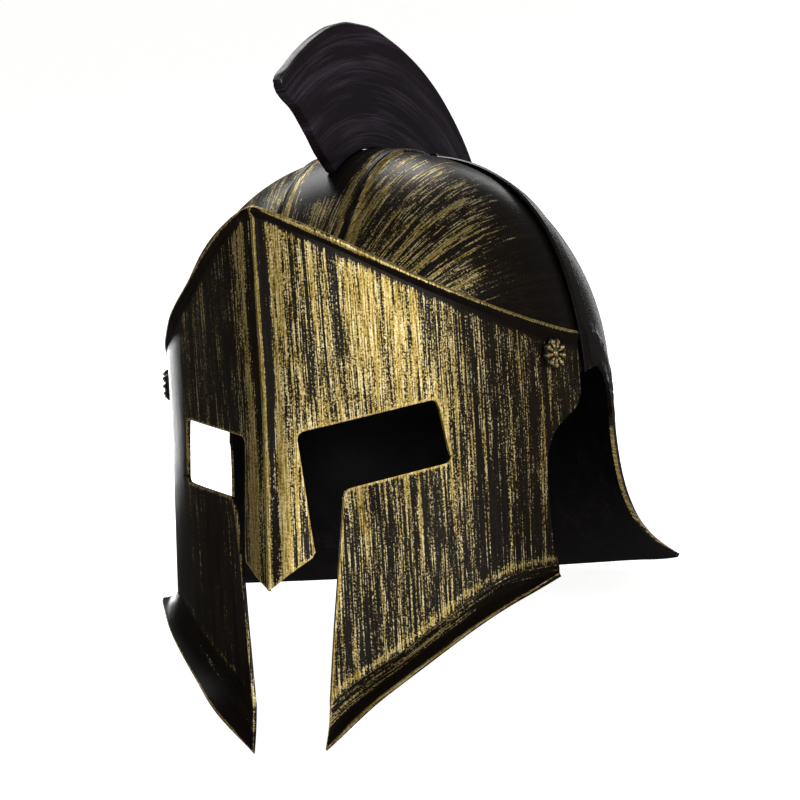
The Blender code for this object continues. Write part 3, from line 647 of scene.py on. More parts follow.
def front_patch():
    """Slices from under the back shell forward to the brow, raised where the band lies."""
    size = slice_sizes(FRONT_BAND, FRONT_EDGE_SHARE, FRONT_EAR_SHARE)
    start = seam_angle(size, 0.0, SEAM_OVERLAP)
    along = np.linspace(0.0, 1.0, FRONT_ROWS)[:, None]
    angle = start[None, :] * (1.0 - along) + math.radians(BROW_ANGLE_DEG) * along
    size = size[None, :] + 0.0 * angle
    side = skull_point(size, angle)[..., 0]
    return skull_point(size, angle, band_profile(side, FRONT_BAND, BAND_RAISE))


def longitude(points):
    """Turn about the line from brow to nape, and distance along it, both in mm on the skull."""
    up = points[:, 2] - SKULL_CENTRE_Z
    return STROKE_RADIUS * np.arctan2(points[:, 0], up), points[:, 1]


def dome_paint_place(points):
    """Strokes fan out from the brow; little gold on the crown and below the crest's corner."""
    side = np.abs(points[:, 0])
    across, along = longitude(points)
    near_seam = 1.0 - rises(seam_y(points[:, 2]) - points[:, 1], 8.0, 45.0)
    low_side = rises(side, 68.0, 14.0)
    behind_corner = falls(skull_turn(points), math.radians(CREST_CORNER_DEG), 0.14)
    band_edge = bell(side - FRONT_BAND + 0.4, 0.8)
    band_groove = bell(side - FRONT_BAND + GROOVE_INSET, 1.0)
    band_stroke = bell(side - FRONT_BAND + BAND_STROKE_INSET, 0.8)
    wear_and_painted_light = -0.45 * near_seam - 0.35 * low_side
    # A darker patch with little gold lies on the band below the crest's front corner.
    wear_and_painted_light -= 1.4 * bell(side, CREST_CORNER_PATCH_HALF) * behind_corner
    wear_and_painted_light += 0.4 * band_edge - 0.4 * band_groove + 0.35 * band_stroke
    return across, along, wear_and_painted_light


front_cut = bar_along_x("front_cut", ARCH_RADIUS + SEAM_GAP, ARCH_Y, ARCH_Z)
make_piece(
    "front_shell", both_sides([front_patch()]), (dome_paint, inner_plastic),
    ("helmet", "skull_front", "dry_brushed_plastic"),
    dome_paint_place, wall=SHELL_WALL, cutter=front_cut,
)
bpy.data.objects.remove(front_cut)

# %% [markdown]
# ## The back shell and neck guard
# The back shell laps over the front one along the seam, carries the crown band just behind its
# edge, and swells into a pad round each ear arch. Below the ears it becomes the neck guard,
# which flares out like a bell: an exponential in height gives that sweep.

# %% Back shell
CROWN_BAND_WIDTH = 13.5
CROWN_BAND_RAISE = 0.9
CROWN_STEP = 1.2
HOOD_RADIUS = 36.0
HOOD_RAISE = 2.0
HOOD_STEP = 5.0
LIP_RAISE = 0.9
LIP_WIDTH = 1.6
REAR_EAR_SHARE = 0.07
NECK_EDGE_Y = 65.0
NECK_EDGE_TOP_Z = 66.0
NECK_EDGE_LEAN = 0.42
NECK_SWEEP = 33.5
NECK_SWEEP_FADE = 13.0
NECK_FLARE = 25.0
NECK_FLARE_BACK = 48.0
NECK_FLARE_FADE = 18.0
NECK_FOOT_Z = 2.1
EDGE_DROP = 2.8
DOME_ROWS, NECK_ROWS, CROWN_ROWS = 60, 56, 22
NECK_CROWDING = 1.3


def hood_raise(y, z):
    """A pad round the ear arch: a soft step with the distance from the arch's centre."""
    from_ear = np.hypot(y - ARCH_Y, np.maximum(z - ARCH_Z, 0.0))
    pad = HOOD_RAISE * ease((HOOD_RADIUS - from_ear) / HOOD_STEP + 0.5)
    lip = LIP_RAISE * bell(np.maximum(from_ear - ARCH_RADIUS - 0.5, 0.0), LIP_WIDTH)
    return (pad + lip) * ease(z / ARCH_Z + 0.3) * rises(y, SEAM_Y, HOOD_STEP)


def neck_point(share, z):
    """The widest slice, tucked at the nape and flared by an exponential towards the foot."""
    flare = np.exp(-np.maximum(z, 0.0) / NECK_FLARE_FADE)
    stand_off = LAP + hood_raise(SKULL_CENTRE_Y + SKULL_REAR * share, z)
    half = SKULL_HALF_WIDTH + stand_off + NECK_FLARE * flare
    reach = SKULL_REAR + stand_off - nape_tuck(z) + NECK_FLARE_BACK * flare
    return np.stack([half * width_share(share), SKULL_CENTRE_Y + reach * share, z + 0.0 * share], axis=-1)


def neck_edge_y(z):
    """The neck guard's front edge: it sweeps back at the foot and leans above the arch."""
    edge_y = NECK_EDGE_Y + NECK_SWEEP * np.exp(-z / NECK_SWEEP_FADE)
    return edge_y - NECK_EDGE_LEAN * np.maximum(z - NECK_EDGE_TOP_Z, 0.0)


def neck_edge_share(z):
    """The slice at which the neck guard meets its front edge, at each height."""
    def ahead(share):
        return neck_point(share, z)[..., 1] <= neck_edge_y(z)

    return halve(np.zeros_like(z), np.ones_like(z), ahead)


def back_patches():
    """The dome behind the seam, and the neck guard below the ears."""
    edge_share = float(neck_edge_share(np.array(SKULL_CENTRE_Z)))
    size = slice_sizes(BAND_HALF_WIDTH, edge_share, REAR_EAR_SHARE)
    crown_end = CROWN_BAND_WIDTH + CROWN_STEP
    back = np.linspace(0.0, crown_end, CROWN_ROWS)
    start = [seam_angle(size, LAP, distance)[None] for distance in back]
    down = np.linspace(0.0, 1.0, DOME_ROWS)[1:, None]
    angle = np.concatenate(start + [start[-1] * (1.0 - down)])
    size = size[None, :] + 0.0 * angle
    flat = skull_point(size, angle, LAP)
    behind = flat[..., 1] - seam_y(flat[..., 2])
    crown = np.minimum(rises(behind, 0.0, CROWN_STEP), falls(behind, crown_end, CROWN_STEP))
    middle = band_profile(flat[..., 0], BAND_HALF_WIDTH, BAND_RAISE)
    hood = hood_raise(flat[..., 1], flat[..., 2])
    raised = np.maximum(np.maximum(CROWN_BAND_RAISE * crown, middle), hood)
    upper = skull_point(size, angle, LAP + raised)

    drop = 1.0 - (1.0 - np.linspace(0.0, 1.0, NECK_ROWS)[:, None]) ** NECK_CROWDING
    z = SKULL_CENTRE_Z * (1.0 - drop) + NECK_FOOT_Z * drop
    joined = size[-1, :-EAR_SLICES]
    shares = 1.0 - (1.0 - joined[None, :]) / (1.0 - edge_share) * (1.0 - neck_edge_share(z))
    lowered = EDGE_DROP * rises(drop, 0.93, 0.07) * shares
    lower = neck_point(shares, z - lowered)
    lower[0] = upper[-1, : len(joined)]
    return [upper[:, ::-1], lower[:, ::-1]]


def back_paint_place(points):
    """Almost no gold but on the neck guard's front edge; strokes run fore and aft."""
    across, along = longitude(points)
    low = falls(points[:, 2], ARCH_Z + 12.0, 30.0) * (np.abs(points[:, 0]) > 60.0)
    at_edge = bell(points[:, 1] - neck_edge_y(points[:, 2]), 1.2)
    return across, along, -0.8 + 1.4 * low * at_edge


back_cut = bar_along_x("back_cut", ARCH_RADIUS, ARCH_Y, ARCH_Z)
make_piece(
    "back_shell", both_sides(back_patches()), (back_paint, inner_plastic),
    ("helmet", "rear_shell", "black_plastic"),
    back_paint_place, wall=SHELL_WALL, cutter=back_cut,
)
bpy.data.objects.remove(back_cut)

# %% [markdown]
# ## The visor's plan and its edges
# Seen from above, the visor is one curve from the nose ridge round to the temple, and a flat
# strip 11 mm wide makes the ridge. Every level uses that curve. The eye slots, the nose, the
# cheeks and the rear edge are lines drawn on it, in distance along the curve and in height.

# %% Visor lines
VISOR_WALL, VISOR_EDGE_ROUND = 1.8, 0.45
VISOR_PLAN = (
    # x, y
    (0.0, -99.6),
    (5.6, -98.4),
    (12.6, -94.2),
    (27.0, -81.5),
    (42.0, -69.3),
    (61.0, -53.0),
    (79.0, -30.5),
    (86.0, -19.5),
    (93.0, -4.0),
    (97.6, 10.0),
    (100.6, 23.5),
)
PLAN_POINTS = 600
RIM_TOP_Z = 167.3
RIM_FALL = 0.628
RIM_CAP = 4.0
FOREHEAD_SWELL = 4.0
NOSE_FORWARD = 6.4
RIDGE_X = 5.6
CORNER_RADIUS, NOSE_CORNER_RADIUS = 3.2, 1.8
EYE_INNER_X = 12.6
EYE_INNER_Z = 63.8
EYE_OUTER_X = (62.3, 65.4)
EYE_TOP_SLOPE = 0.237
EYE_BOTTOM_INNER = (27.2, 37.7)
EYE_BOTTOM_SLOPE = 0.247
NOSE_END_X = 17.2
NOSE_END_Z = 9.4
NOSE_TIP_Z = -4.6
CHEEK_BACK = 1.7
TEMPLE_SWELL = 1.8
CHEEK_TIP_X = 19.0
REAR_EDGE = (
    # z, y
    (106.0, 22.6),
    (90.0, 23.4),
    (78.0, 23.2),
    (71.0, 20.0),
    (66.0, 12.0),
    (62.0, 5.5),
    (55.5, -0.5),
    (48.0, -3.6),
    (37.0, -5.0),
    (18.0, -5.2),
    (7.0, -4.8),
    (-1.0, -2.4),
)
CREASE = (
    # x, z
    (19.0, -55.5),
    (26.0, -48.2),
    (44.3, -34.8),
    (60.3, -21.1),
    (73.1, -10.5),
    (83.6, -3.6),
    (94.0, -1.0),
)
FLANGE_EDGE = (
    # share of the length, x, y, z
    (0.00, 17.6, -95.8, -75.2),
    (0.18, 36.6, -88.9, -57.6),
    (0.42, 56.3, -71.4, -40.7),
    (0.68, 76.8, -49.4, -23.2),
    (0.88, 91.3, -27.6, -11.4),
    (1.00, 99.0, -12.8, -4.6),
)
plan = np.array(VISOR_PLAN)
plan_steps = np.hypot(np.diff(plan[:, 0]), np.diff(plan[:, 1]))
plan = np.column_stack([np.concatenate([[0.0], np.cumsum(plan_steps)]), plan])
PLAN_S = np.linspace(0.0, plan[-1, 0], PLAN_POINTS)
PLAN_X = smooth(plan, PLAN_S, 1)
PLAN_Y = smooth(plan, PLAN_S, 2)
print("half of the visor's plan curve is", round(float(PLAN_S[-1]), 1), "mm long")


def s_at_x(x):
    """Half width to distance along the plan curve."""
    return np.interp(x, PLAN_X, PLAN_S)


def x_at(s):
    """Distance along the plan curve to half width."""
    return np.interp(s, PLAN_S, PLAN_X)


def rim_z(s):
    """The top edge: straight down to the temples from a peak rounded like a hyperbola."""
    return RIM_TOP_Z - RIM_FALL * np.sqrt(x_at(s) ** 2 + RIM_CAP**2)


def fillet(s, corner_x, radius=CORNER_RADIUS):
    """How far a quarter circle draws an edge in, this near to a corner at corner_x."""
    short = np.clip(radius - np.abs(s - s_at_x(corner_x)), 0.0, radius)
    return radius - np.sqrt(radius**2 - short**2)


def eye_top_z(s):
    """The slot's upper edge, with a rounded corner at each end."""
    flat = EYE_INNER_Z + EYE_TOP_SLOPE * (np.clip(x_at(s), EYE_INNER_X, EYE_OUTER_X[0]) - EYE_INNER_X)
    return flat - fillet(s, EYE_INNER_X) - fillet(s, EYE_OUTER_X[0])


def eye_bottom_z(s):
    """The slot's lower edge; its outer corner is hollow and the cheek's own corner is not."""
    x = np.clip(x_at(s), EYE_BOTTOM_INNER[0], EYE_OUTER_X[1])
    flat = EYE_BOTTOM_INNER[1] + EYE_BOTTOM_SLOPE * (x - EYE_BOTTOM_INNER[0])
    return flat - fillet(s, EYE_BOTTOM_INNER[0]) + fillet(s, EYE_OUTER_X[1])


def nose_z(s):
    """The nose's lower edge, from its tip up to a rounded outer corner."""
    flat = NOSE_TIP_Z + (NOSE_END_Z - NOSE_TIP_Z) * np.minimum(x_at(s), NOSE_END_X) / NOSE_END_X
    return flat + fillet(s, NOSE_END_X, NOSE_CORNER_RADIUS)


def crease_z(s):
    """The line where the flange leaves the cheek."""
    return smooth(CREASE, x_at(s))


# %% [markdown]
# ## The visor's surface
# The forehead swells a little to each side of the ridge and a rolled bead stiffens the top
# edge. Both push the plan curve out along its own normal. The nose comes straight forward as
# it goes down. Patches meet along the slots' edges, so the slots are where no patch is.

# %% Visor
RIM_BEAD = 2.6
RIM_BEAD_TAPER = 0.6
RIM_BEAD_DEPTH = 5.0
RIM_BEAD_SHAPE = (
    # share of the depth, share of the height
    (0.0, 0.3),
    (0.12, 0.75),
    (0.3, 1.0),
    (0.6, 0.95),
    (0.85, 0.45),
    (1.0, 0.0),
)
RIM_BEAD_TAPER_X = (65.0, 25.0)
RIM_BEAD_ROWS = 9
SWELL_X, SWELL_WIDTH = 28.0, 18.0
SWELL_FROM_Z, SWELL_RUN = 50.0, 100.0
TEMPLE_X = (60.0, 25.0)
TEMPLE_TOP_Z = 65.0
NOSE_TOP_Z, NOSE_RUN, NOSE_BEND, NOSE_HALF = 80.0, 83.0, 1.2, 30.0
PAST_END = 1.2
RIDGE_BEAD = 0.5
RIDGE_BEAD_WIDTH = 1.0
NORMAL_STEP = 0.5
ON_RIDGE = 0.01
REAR_TOP_Z, REAR_LOW_Z = 106.0, -1.0
CHEEK_BACK_Z, CHEEK_BACK_RUN = 42.0, 20.0
FLANGE_SAG = 1.2
BROW_TALL, NOSE_TALL, TEMPLE_TALL, CHEEK_TALL, FLANGE_WIDE = 72.0, 64.0, 28.0, 75.0, 20.0
RIDGE_STRIP = np.array([0.0, 0.1, 0.2, 0.33, 0.5, 0.75, 1.0])
RIDGE_SIDE = np.concatenate([[0.0, 0.08, 0.2], np.linspace(0.35, 0.8, 4), [0.9, 1.0]])


def visor_point(s, z, out=0.0):
    """The plan curve pushed out along its normal by the swells, and forward by the nose."""
    x, y = x_at(s), np.interp(s, PLAN_S, PLAN_Y)
    ahead, behind = s + NORMAL_STEP, s - NORMAL_STEP
    run_x = x_at(ahead) - x_at(behind)
    run_y = np.interp(ahead, PLAN_S, PLAN_Y) - np.interp(behind, PLAN_S, PLAN_Y)
    size = np.hypot(run_x, run_y)
    normal_x = np.where(s < ON_RIDGE, 0.0, run_y / size)
    normal_y = np.where(s < ON_RIDGE, -1.0, -run_x / size)
    out = out + RIDGE_BEAD * bell(x, RIDGE_BEAD_WIDTH)
    high = np.clip((z - SWELL_FROM_Z) / SWELL_RUN, 0.0, PAST_END)
    out = out + FOREHEAD_SWELL * bell(x - SWELL_X, SWELL_WIDTH) * high
    low = np.clip((TEMPLE_TOP_Z - z) / TEMPLE_TOP_Z, 0.0, 1.0)
    out = out + TEMPLE_SWELL * rises(x, *TEMPLE_X) * low
    down = np.clip((NOSE_TOP_Z - z) / NOSE_RUN, 0.0, PAST_END) ** NOSE_BEND
    nose = NOSE_FORWARD * down * np.clip(1.0 - x / NOSE_HALF, 0.0, 1.0)
    return np.stack([x + normal_x * out, y + normal_y * out - nose, z + 0.0 * s], axis=-1)


def visor_patch(left, right, top, bottom, across, tall):
    """Points between two side lines and two end lines; the rim adds rows for its bead."""
    bead = top is rim_z
    shares = spaced(tall)
    beads = np.linspace(0.0, 1.0, RIM_BEAD_ROWS)[:-1] if bead else np.zeros(0)
    down = np.concatenate([0.0 * beads, shares])[:, None]
    depth = np.concatenate([beads, np.ones(len(shares))])[:, None] * (RIM_BEAD_DEPTH if bead else 0.0)
    s = left(down) * (1.0 - across) + right(down) * across
    out = RIM_BEAD * smooth(RIM_BEAD_SHAPE, depth / RIM_BEAD_DEPTH) if bead else 0.0 * depth
    out = out * (1.0 - RIM_BEAD_TAPER * rises(x_at(s), *RIM_BEAD_TAPER_X))
    return visor_point(s, (top(s) - depth) * (1.0 - down) + bottom(s) * down, out)


def line(start, end=None):
    """A straight side line: it leans towards its end, or stands upright if none is given."""
    end = start if end is None else end
    return lambda down: start + (end - start) * down


def rear(z_top, z_bottom):
    """The rear edge, read by height and turned into distance along the plan."""
    return lambda down: np.interp(smooth(REAR_EDGE, z_top + (z_bottom - z_top) * down), PLAN_Y, PLAN_S)


def visor_patches():
    """Brow, nose, temple, cheek and flange, each sharing its neighbours' lines."""
    ridge, inner, cheek = s_at_x(RIDGE_X), s_at_x(EYE_INNER_X), s_at_x(EYE_BOTTOM_INNER[0])
    outer_top, outer_low = s_at_x(EYE_OUTER_X[0]), s_at_x(EYE_OUTER_X[1])
    nose_end, cheek_end, end = s_at_x(NOSE_END_X), s_at_x(CHEEK_TIP_X), PLAN_S[-1]
    top_rear, bottom_rear = eye_top_z(end), eye_bottom_z(end)
    temple_span, cheek_span = spaced(end - outer_top), spaced(outer_low - cheek)
    rows = (
        # left, right, top, bottom, lines across, height in mm
        (line(0.0), line(ridge), rim_z, eye_top_z, RIDGE_STRIP, BROW_TALL),
        (line(ridge), line(inner), rim_z, eye_top_z, RIDGE_SIDE, BROW_TALL),
        (line(inner), line(cheek), rim_z, eye_top_z, spaced(cheek - inner), BROW_TALL),
        (line(cheek), line(outer_top), rim_z, eye_top_z, spaced(outer_top - cheek), BROW_TALL),
        (line(outer_top), rear(REAR_TOP_Z, top_rear), rim_z, eye_top_z, temple_span, BROW_TALL),
        (line(0.0), line(ridge), eye_top_z, nose_z, RIDGE_STRIP, NOSE_TALL),
        (line(ridge), line(inner, nose_end), eye_top_z, nose_z, RIDGE_SIDE, NOSE_TALL),
        (
            line(outer_top, outer_low), rear(top_rear, bottom_rear),
            eye_top_z, eye_bottom_z, temple_span, TEMPLE_TALL,
        ),
        (line(cheek, cheek_end), line(outer_low), eye_bottom_z, crease_z, cheek_span, CHEEK_TALL),
        (line(outer_low), rear(bottom_rear, REAR_LOW_Z), eye_bottom_z, crease_z, temple_span, CHEEK_TALL),
    )
    patches = [visor_patch(*row) for row in rows]
    cheek_front, cheek_rear = patches[-2:]
    back = CHEEK_BACK * falls(cheek_front[..., 2], CHEEK_BACK_Z, CHEEK_BACK_RUN)
    cheek_front[..., 1] += back * (1.0 - cheek_span)
    crease = np.concatenate([cheek_front[-1], cheek_rear[-1][1:]])
    run = np.concatenate([[0.0], np.cumsum(np.linalg.norm(np.diff(crease, axis=0), axis=1))])
    edge = np.stack([smooth(FLANGE_EDGE, run / run[-1], column) for column in (1, 2, 3)], axis=-1)
    down = spaced(FLANGE_WIDE, step=2.0)[:, None, None]
    flange = crease[None] * (1.0 - down) + edge[None] * down
    flange[..., 2] -= FLANGE_SAG * np.sin(math.pi * down[..., 0])
    return patches + [flange]


FLANGE_DEPTH = (
    # x, how far the flange hangs below its crease
    (19.0, 20.0),
    (56.0, 16.0),
    (77.0, 15.0),
    (91.0, 10.0),
    (99.0, 4.0),
)
EDGE_GOLD_WIDTH = 0.8
HINGE_SIDE_X = 88.0
visor_sides = both_sides(visor_patches())
visor_edge = cut_edge(*weld(visor_sides))


def visor_paint_place(points):
    """Upright strokes, but along the flange; gold on edges; bare strips by rim and flange; less gold on the
    right half as painted shade; a painted highlight on the ridge.
    """
    x, z = points[:, 0], points[:, 2]
    side = np.abs(x)
    s = s_at_x(side)
    on_cheek = side > EYE_INNER_X
    below_rim, below_crease = rim_z(s) - z, crease_z(s) - z
    depth = below_crease / smooth(FLANGE_DEPTH, side)

    at_edge = bell(distance_to(points, visor_edge), EDGE_GOLD_WIDTH)
    wear_and_painted_light = 0.6 * at_edge * (side < HINGE_SIDE_X) + 0.7 * bell(below_rim - 0.3, 0.8)
    under_rim = (1.0 - rises(below_rim - 0.03 * side, 2.5, 4.0)) * rises(below_rim, 0.8, 1.0)
    bare_flange = rises(depth, 0.5, 0.15) * on_cheek * (1.0 - at_edge)
    wear_and_painted_light -= 0.9 * under_rim + 0.9 * bare_flange
    flange_lip, crease_line = bell(depth - 1.0, 0.12), bell(below_crease + 3.0, 1.6)
    wear_and_painted_light += (0.6 * flange_lip + 0.35 * crease_line) * on_cheek

    # The ridge line is real gold on the ridge's crest, and it is also laid on full and bright as a painted
    # highlight.
    ridge_gold_and_highlight, ridge_edge = bell(side, 0.8), bell(side - RIDGE_X - 1.5, 1.2)
    ridge_groove = rises(side, 0.8, 0.6) * falls(side, RIDGE_X, 0.8)
    wear_and_painted_light += 1.6 * ridge_gold_and_highlight + 0.35 * ridge_edge - 0.35 * ridge_groove
    # Painted shade: the wearer's right half, which faces away from the key light, takes less gold so that
    # it reads darker.
    shaded_right_half, temples, chin = rises(-x, 4.0, 20.0), rises(side, 62.0, 18.0), falls(z, 45.0, 30.0)
    wear_and_painted_light -= 0.33 * shaded_right_half + 0.16 * temples + 0.08 * chin
    forehead = bell(side - 48.0, 20.0) * rises(z, 50.0, 15.0)
    nose = falls(z, 75.0, 30.0) * falls(side, EYE_INNER_X + 2.0, 3.0)
    wear_and_painted_light += 0.14 * forehead + 0.25 * nose

    on_flange = (below_crease > -0.1) & on_cheek
    across = np.where(on_flange, below_crease, s * np.sign(x))
    return across, np.where(on_flange, s, z), wear_and_painted_light


make_piece(
    "face_visor", visor_sides, (visor_paint, inner_plastic),
    ("visor", "visor", "brushed_visor_plastic"),
    visor_paint_place, wall=VISOR_WALL, edge=VISOR_EDGE_ROUND,
)

# %% [markdown]
# ## Rosette rivets
# Each side of the visor turns on a moulded rosette the size of a coin: petals like knobbed
# spokes over a darker dish, with a round boss in the middle. Gold only catches its high parts.
# A pin runs in from its back to a small round head inside the helmet, so it can't pull out.

# %% Rosettes
ROSETTE_RADIUS = 7.4
ROSETTE_PETALS = 9
ROSETTE_X = 96.7
ROSETTE_TURN_DEG = 19.0
ROSETTE_RIM = 1.0
ROSETTE_LIFT = 1.7
BOSS_LIFT, BOSS_WIDTH = 1.6, 0.2
SPOKE_BUMPS = (
    # share of the radius, width, height
    (0.72, 0.17, 1.0),
    (0.42, 0.12, 0.75),
)
SPOKE_POWER = 0.8
PETAL_NOTCH = 0.13
RIM_ROUND, RIM_START = 0.06, 0.35
PETAL_STEPS, RING_STEPS = 20, 34
PIN_RADIUS = 2.4
PIN_PROFILE = (
    # x, radius
    (86.4, 0.01),
    (86.4, 3.8),
    (86.7, 4.2),
    (87.9, 4.2),
    (88.2, 3.8),
    (88.2, PIN_RADIUS),
    (97.6, PIN_RADIUS),
    (97.6, 0.01),
)


def rosette_height(radius, turn):
    """A dish, plus spokes that swell near the rim, plus a boss: all from cosines and bells."""
    spoke = np.clip(0.5 + 0.5 * np.cos(ROSETTE_PETALS * turn), 0.0, 1.0) ** SPOKE_POWER
    knob = sum(height * bell(radius - place, width) for place, width, height in SPOKE_BUMPS)
    boss = BOSS_LIFT * bell(radius, BOSS_WIDTH)
    return ROSETTE_RIM + ROSETTE_LIFT * (spoke * np.clip(knob, 0.0, 1.0)) + boss


def rosette_patches(side):
    """The flower as a polar grid closed by a flat back, and the pin as a turned profile."""
    turn = np.linspace(0.0, 2.0 * math.pi, PETAL_STEPS * ROSETTE_PETALS + 1)[None, :]
    radius = np.linspace(0.0, 1.0, RING_STEPS)[:, None]
    spoke = 0.5 + 0.5 * np.cos(ROSETTE_PETALS * turn)
    reach = ROSETTE_RADIUS * radius * (1.0 - PETAL_NOTCH * radius**2 * (1.0 - spoke))
    height = rosette_height(radius, turn) * ease((1.0 - radius) / RIM_ROUND + RIM_START)
    reach = np.concatenate([reach, reach[-1:], 0.0 * reach[-1:]])
    height = np.concatenate([height, 0.0 * height[-1:], 0.0 * height[-1:]])
    a, b = reach * np.cos(turn), reach * np.sin(turn)
    lean = math.radians(ROSETTE_TURN_DEG)
    x = ROSETTE_X + height * math.cos(lean) + b * math.sin(lean)
    y = HINGE_Y - height * math.sin(lean) + b * math.cos(lean)
    flower = np.stack([side * x, y, HINGE_Z - a], axis=-1)
    profile = np.array(PIN_PROFILE)
    x, r = profile[:, 0, None], profile[:, 1, None]
    round_y, round_z = HINGE_Y + r * np.cos(turn), HINGE_Z + r * np.sin(turn)
    return [flower, np.stack([side * x + 0.0 * turn, round_y, round_z], axis=-1)]


def rosette_paint_place(points):
    """Gold on the high parts: wear grows with the height above the dish."""
    lean = math.radians(ROSETTE_TURN_DEG)
    out = (np.abs(points[:, 0]) - ROSETTE_X) * math.cos(lean) - (points[:, 1] - HINGE_Y) * math.sin(lean)
    return points[:, 1], points[:, 2], 1.6 * rises(out, 1.2, 1.0) - 0.8


for label, side in (("left", 1.0), ("right", -1.0)):
    make_piece(
        "rosette_" + label, rosette_patches(side), (rosette_paint,),
        ("visor", "rivet_" + label, "gold_painted_plastic"), rosette_paint_place,
    )

# %% [markdown]
# ## The crest
# A flat fin 5 mm thick, cut to a sweeping outline, stands on the middle band. Lines are drawn
# from the band to the outline, and each one is walked up the left face, over a rounded edge and
# down the right face. Where the back shell ends, the fin's foot steps down to the front band.

# %% Crest
CREST_HALF = 2.5
CREST_GAP = 0.3
CREST_ROUND = 1.8
CREST_ANGLES_DEG = (16.5, 117.6)
CREST_INSET = 0.25
CREST_STEP = 3.0
CREST_LONG, CREST_TALL = 330.0, 90.0
FOOT_ROUND_FROM = 0.6
CREST_OUTLINE = (
    # y, z
    (164.5, 117.0),
    (167.5, 127.0),
    (167.0, 141.0),
    (163.5, 158.0),
    (157.0, 176.0),
    (148.5, 192.0),
    (138.8, 204.6),
    (126.2, 216.4),
    (106.2, 230.5),
    (82.3, 241.9),
    (54.6, 250.3),
    (33.0, 254.3),
    (12.7, 254.5),
    (-4.0, 252.2),
    (-21.5, 246.9),
    (-40.3, 238.8),
    (-55.0, 230.6),
    (-66.6, 222.2),
    (-64.4, 218.2),
    (-49.6, 210.9),
    (-37.0, 200.9),
    (-25.9, 191.2),
)


def round_off(distance):
    """A quarter circle: how much of the half thickness is left this near to an edge."""
    share = np.clip(distance / CREST_ROUND, 0.0, 1.0)
    return np.sqrt(np.clip(1.0 - (1.0 - share) ** 2, 0.0, 1.0))


def crest_patch():
    """Lines from the band to the outline, with the thickness rounded off at every edge."""
    t = spaced(CREST_LONG, step=3.0)
    outline = np.array(CREST_OUTLINE)
    run = np.concatenate([[0.0], np.cumsum(np.hypot(*np.diff(outline, axis=0).T))])
    table = np.column_stack([run / run[-1], outline])
    top_y, top_z = smooth(table, t, 1), smooth(table, t, 2)
    low, high = np.radians(CREST_ANGLES_DEG)
    angle = low + (high - low) * t
    middle = np.ones_like(angle)
    bare = skull_point(middle, angle, 0.0)
    on_back_shell = LAP * ease((bare[:, 1] - seam_y(bare[:, 2])) / CREST_STEP + 1.0)
    foot = skull_point(middle, angle, on_back_shell + BAND_RAISE + CREST_GAP)
    height = np.hypot(top_y - foot[:, 1], top_z - foot[:, 2])
    share = spaced(CREST_TALL, step=4.0)[:, None] * (1.0 - CREST_INSET / np.maximum(height, 1.0))
    y = foot[:, 1] * (1.0 - share) + top_y * share
    z = foot[:, 2] * (1.0 - share) + top_z * share
    from_end = np.minimum(t, 1.0 - t) * CREST_LONG
    half = CREST_HALF * round_off((1.0 - share) * height) * round_off(from_end)
    half = half * round_off(share * height + FOOT_ROUND_FROM)
    left = np.stack([half, y, z], axis=-1)
    right = np.stack([-half, y, z], axis=-1)[::-1]
    return np.concatenate([left, right[1:], left[:1]])


def crest_paint_place(points):
    """Scuffs sweep along the fin, in arcs round the skull's middle; it has no gold to wear."""
    height = np.hypot(points[:, 1] - SKULL_CENTRE_Y, points[:, 2] - SKULL_CENTRE_Z)
    return height, STROKE_RADIUS * skull_turn(points), 0.0 * height


make_piece(
    "crest_fin", [crest_patch()], (crest_paint,), ("helmet", "crest", "crest_plastic"),
    crest_paint_place,
)

# %% [markdown]
# ## Floor and light
# The helmet stands on a white sheet that glows, as on a light table, so only a weak shadow
# shows. The sheet is kept out of the reflections and the room is dark, so the plastic stays
# black. The key softbox shines off the broad left cheek and a weak card fills the nose. A wide
# softbox behind shines off the crown, and two narrow strips behind light the outer edges.

# %% Floor and lights
PAPER = "#f4f4f3"
PAPER_FIBRE = "#fbfbfa"
PAPER_GLOW = 1.0
PAPER_ROUGHNESS = 0.9
FIBRE_SCALE = 900.0
FLOOR_HALF = 6.0
ROOM_LIGHT = 0.05
CENTRE = Vector((0.0, 0.0, 0.15))
LIGHTS = (
    # name, azimuth and height in degrees, distance in m, width and height in m, watts
    ("key", 64.0, 20.0, 1.6, (0.6, 0.8), 11.0),
    ("front_card", 2.0, 24.0, 1.6, (0.25, 0.8), 2.5),
    ("crown_softbox", 206.0, 42.0, 1.6, (1.2, 0.6), 9.0),
    ("side_strip", -134.0, -4.6, 0.62, (0.12, 0.2), 1.0),
    ("back_strip", 184.0, 6.0, 1.2, (0.12, 0.8), 0.5),
)

corners = [(x * FLOOR_HALF, y * FLOOR_HALF, 0.0) for x, y in ((-1, -1), (1, -1), (1, 1), (-1, 1))]
floor_mesh = bpy.data.meshes.new("floor")
floor_mesh.from_pydata(corners, [], [(0, 1, 2, 3)])
floor = add_object("floor", floor_mesh)
paper = bpy.data.materials.new("white_paper")
paper.use_nodes = True
fibre = add_node(paper.node_tree, "ShaderNodeTexNoise", {"Scale": FIBRE_SCALE, "Detail": 4.0})
tone = add_node(paper.node_tree, "ShaderNodeMix", {
    0: fibre.outputs["Fac"], MIX_A: linear(PAPER), MIX_B: linear(PAPER_FIBRE),
}, data_type="RGBA").outputs[MIX_OUT]
set_inputs(paper.node_tree, paper.node_tree.nodes["Principled BSDF"], {
    "Base Color": tone, "Roughness": PAPER_ROUGHNESS,
    "Emission Color": tone, "Emission Strength": PAPER_GLOW,
})
floor_mesh.materials.append(paper)
floor.visible_glossy = False


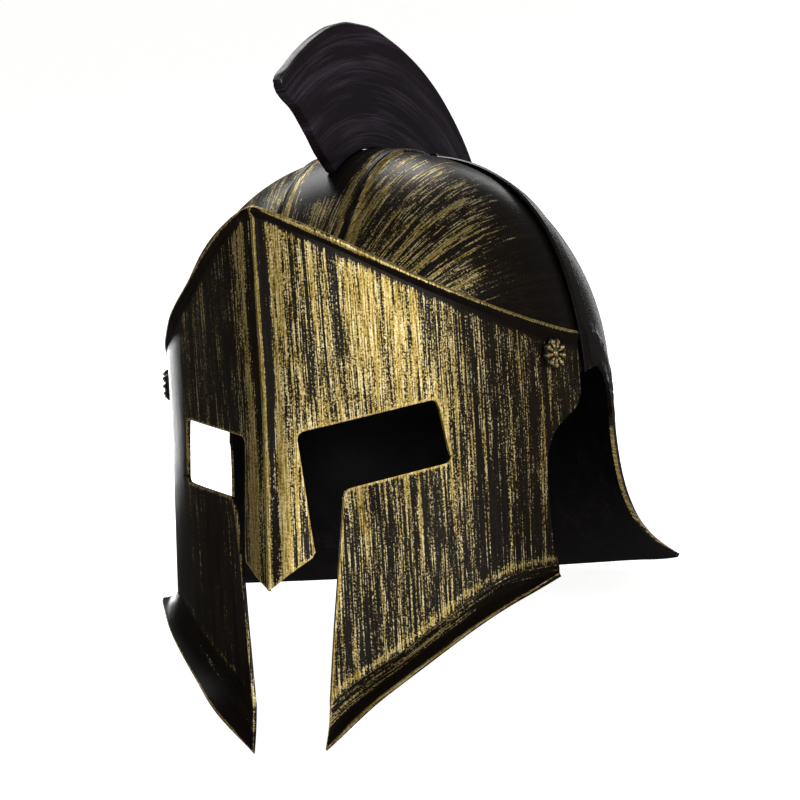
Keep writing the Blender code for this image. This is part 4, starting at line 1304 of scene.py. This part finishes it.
def soft_light(name, azimuth_deg, height_deg, distance, size, power):
    """A softbox that faces the helmet from an azimuth, where 0 is straight ahead of it."""
    turn, rise = math.radians(azimuth_deg), math.radians(height_deg)
    level = math.cos(rise)
    away = Vector((math.sin(turn) * level, -math.cos(turn) * level, math.sin(rise)))
    lamp = bpy.data.lights.new(name, "AREA")
    lamp.shape = "RECTANGLE"
    lamp.size, lamp.size_y = size
    lamp.energy = power
    item = add_object(name, lamp)
    item.location = CENTRE + away * distance
    item.rotation_euler = away.to_track_quat("Z", "Y").to_euler()
    item.visible_camera = False


for row in LIGHTS:
    soft_light(*row)
print("lights", [row[0] for row in LIGHTS])

world = bpy.data.worlds.new("dark_room")
world.use_nodes = True
set_inputs(world.node_tree, world.node_tree.nodes["Background"], {
    "Color": (1.0, 1.0, 1.0, 1.0), "Strength": ROOM_LIGHT,
})
bpy.context.scene.world = world
bpy.context.scene.view_settings.view_transform = "Standard"

# %% [markdown]
# ## Camera
# A long lens from a little over two metres keeps the perspective gentle. The camera is placed
# in the head frame, 24 degrees round towards the wearer's left and almost level. The helmet
# leans back at rest and the camera leans with it, so it looks down from well above the floor.

# %% Camera
CAMERA_AT = (946.7, -2078.3, 0.0)
AZIMUTH_DEG = 24.0
LOOK_UP_DEG = 2.143
ROLL_DEG = 3.578
LENS_MM = 225.0
SENSOR_MM = 36.0
SHIFT_Y = -0.01875

azimuth, look_up, roll = (math.radians(value) for value in (AZIMUTH_DEG, LOOK_UP_DEG, ROLL_DEG))
level = np.array([math.cos(azimuth), math.sin(azimuth), 0.0])
forward = np.array([-math.sin(azimuth), math.cos(azimuth), 0.0])
ahead = forward * math.cos(look_up) + np.array([0.0, 0.0, math.sin(look_up)])
over = np.cross(level, ahead)
right = level * math.cos(roll) - over * math.sin(roll)
up = over * math.cos(roll) + level * math.sin(roll)
axes = LEAN @ np.stack([right, up, -ahead], axis=-1)
camera_data = bpy.data.cameras.new("camera")
camera_data.lens = LENS_MM
camera_data.sensor_width = SENSOR_MM
camera_data.shift_y = SHIFT_Y
camera = add_object("camera", camera_data)
camera.matrix_world = Matrix.Translation(Vector(stand(CAMERA_AT))) @ Matrix(axes.tolist()).to_4x4()
bpy.context.scene.camera = camera
print("camera at", np.round(stand(CAMERA_AT), 3))
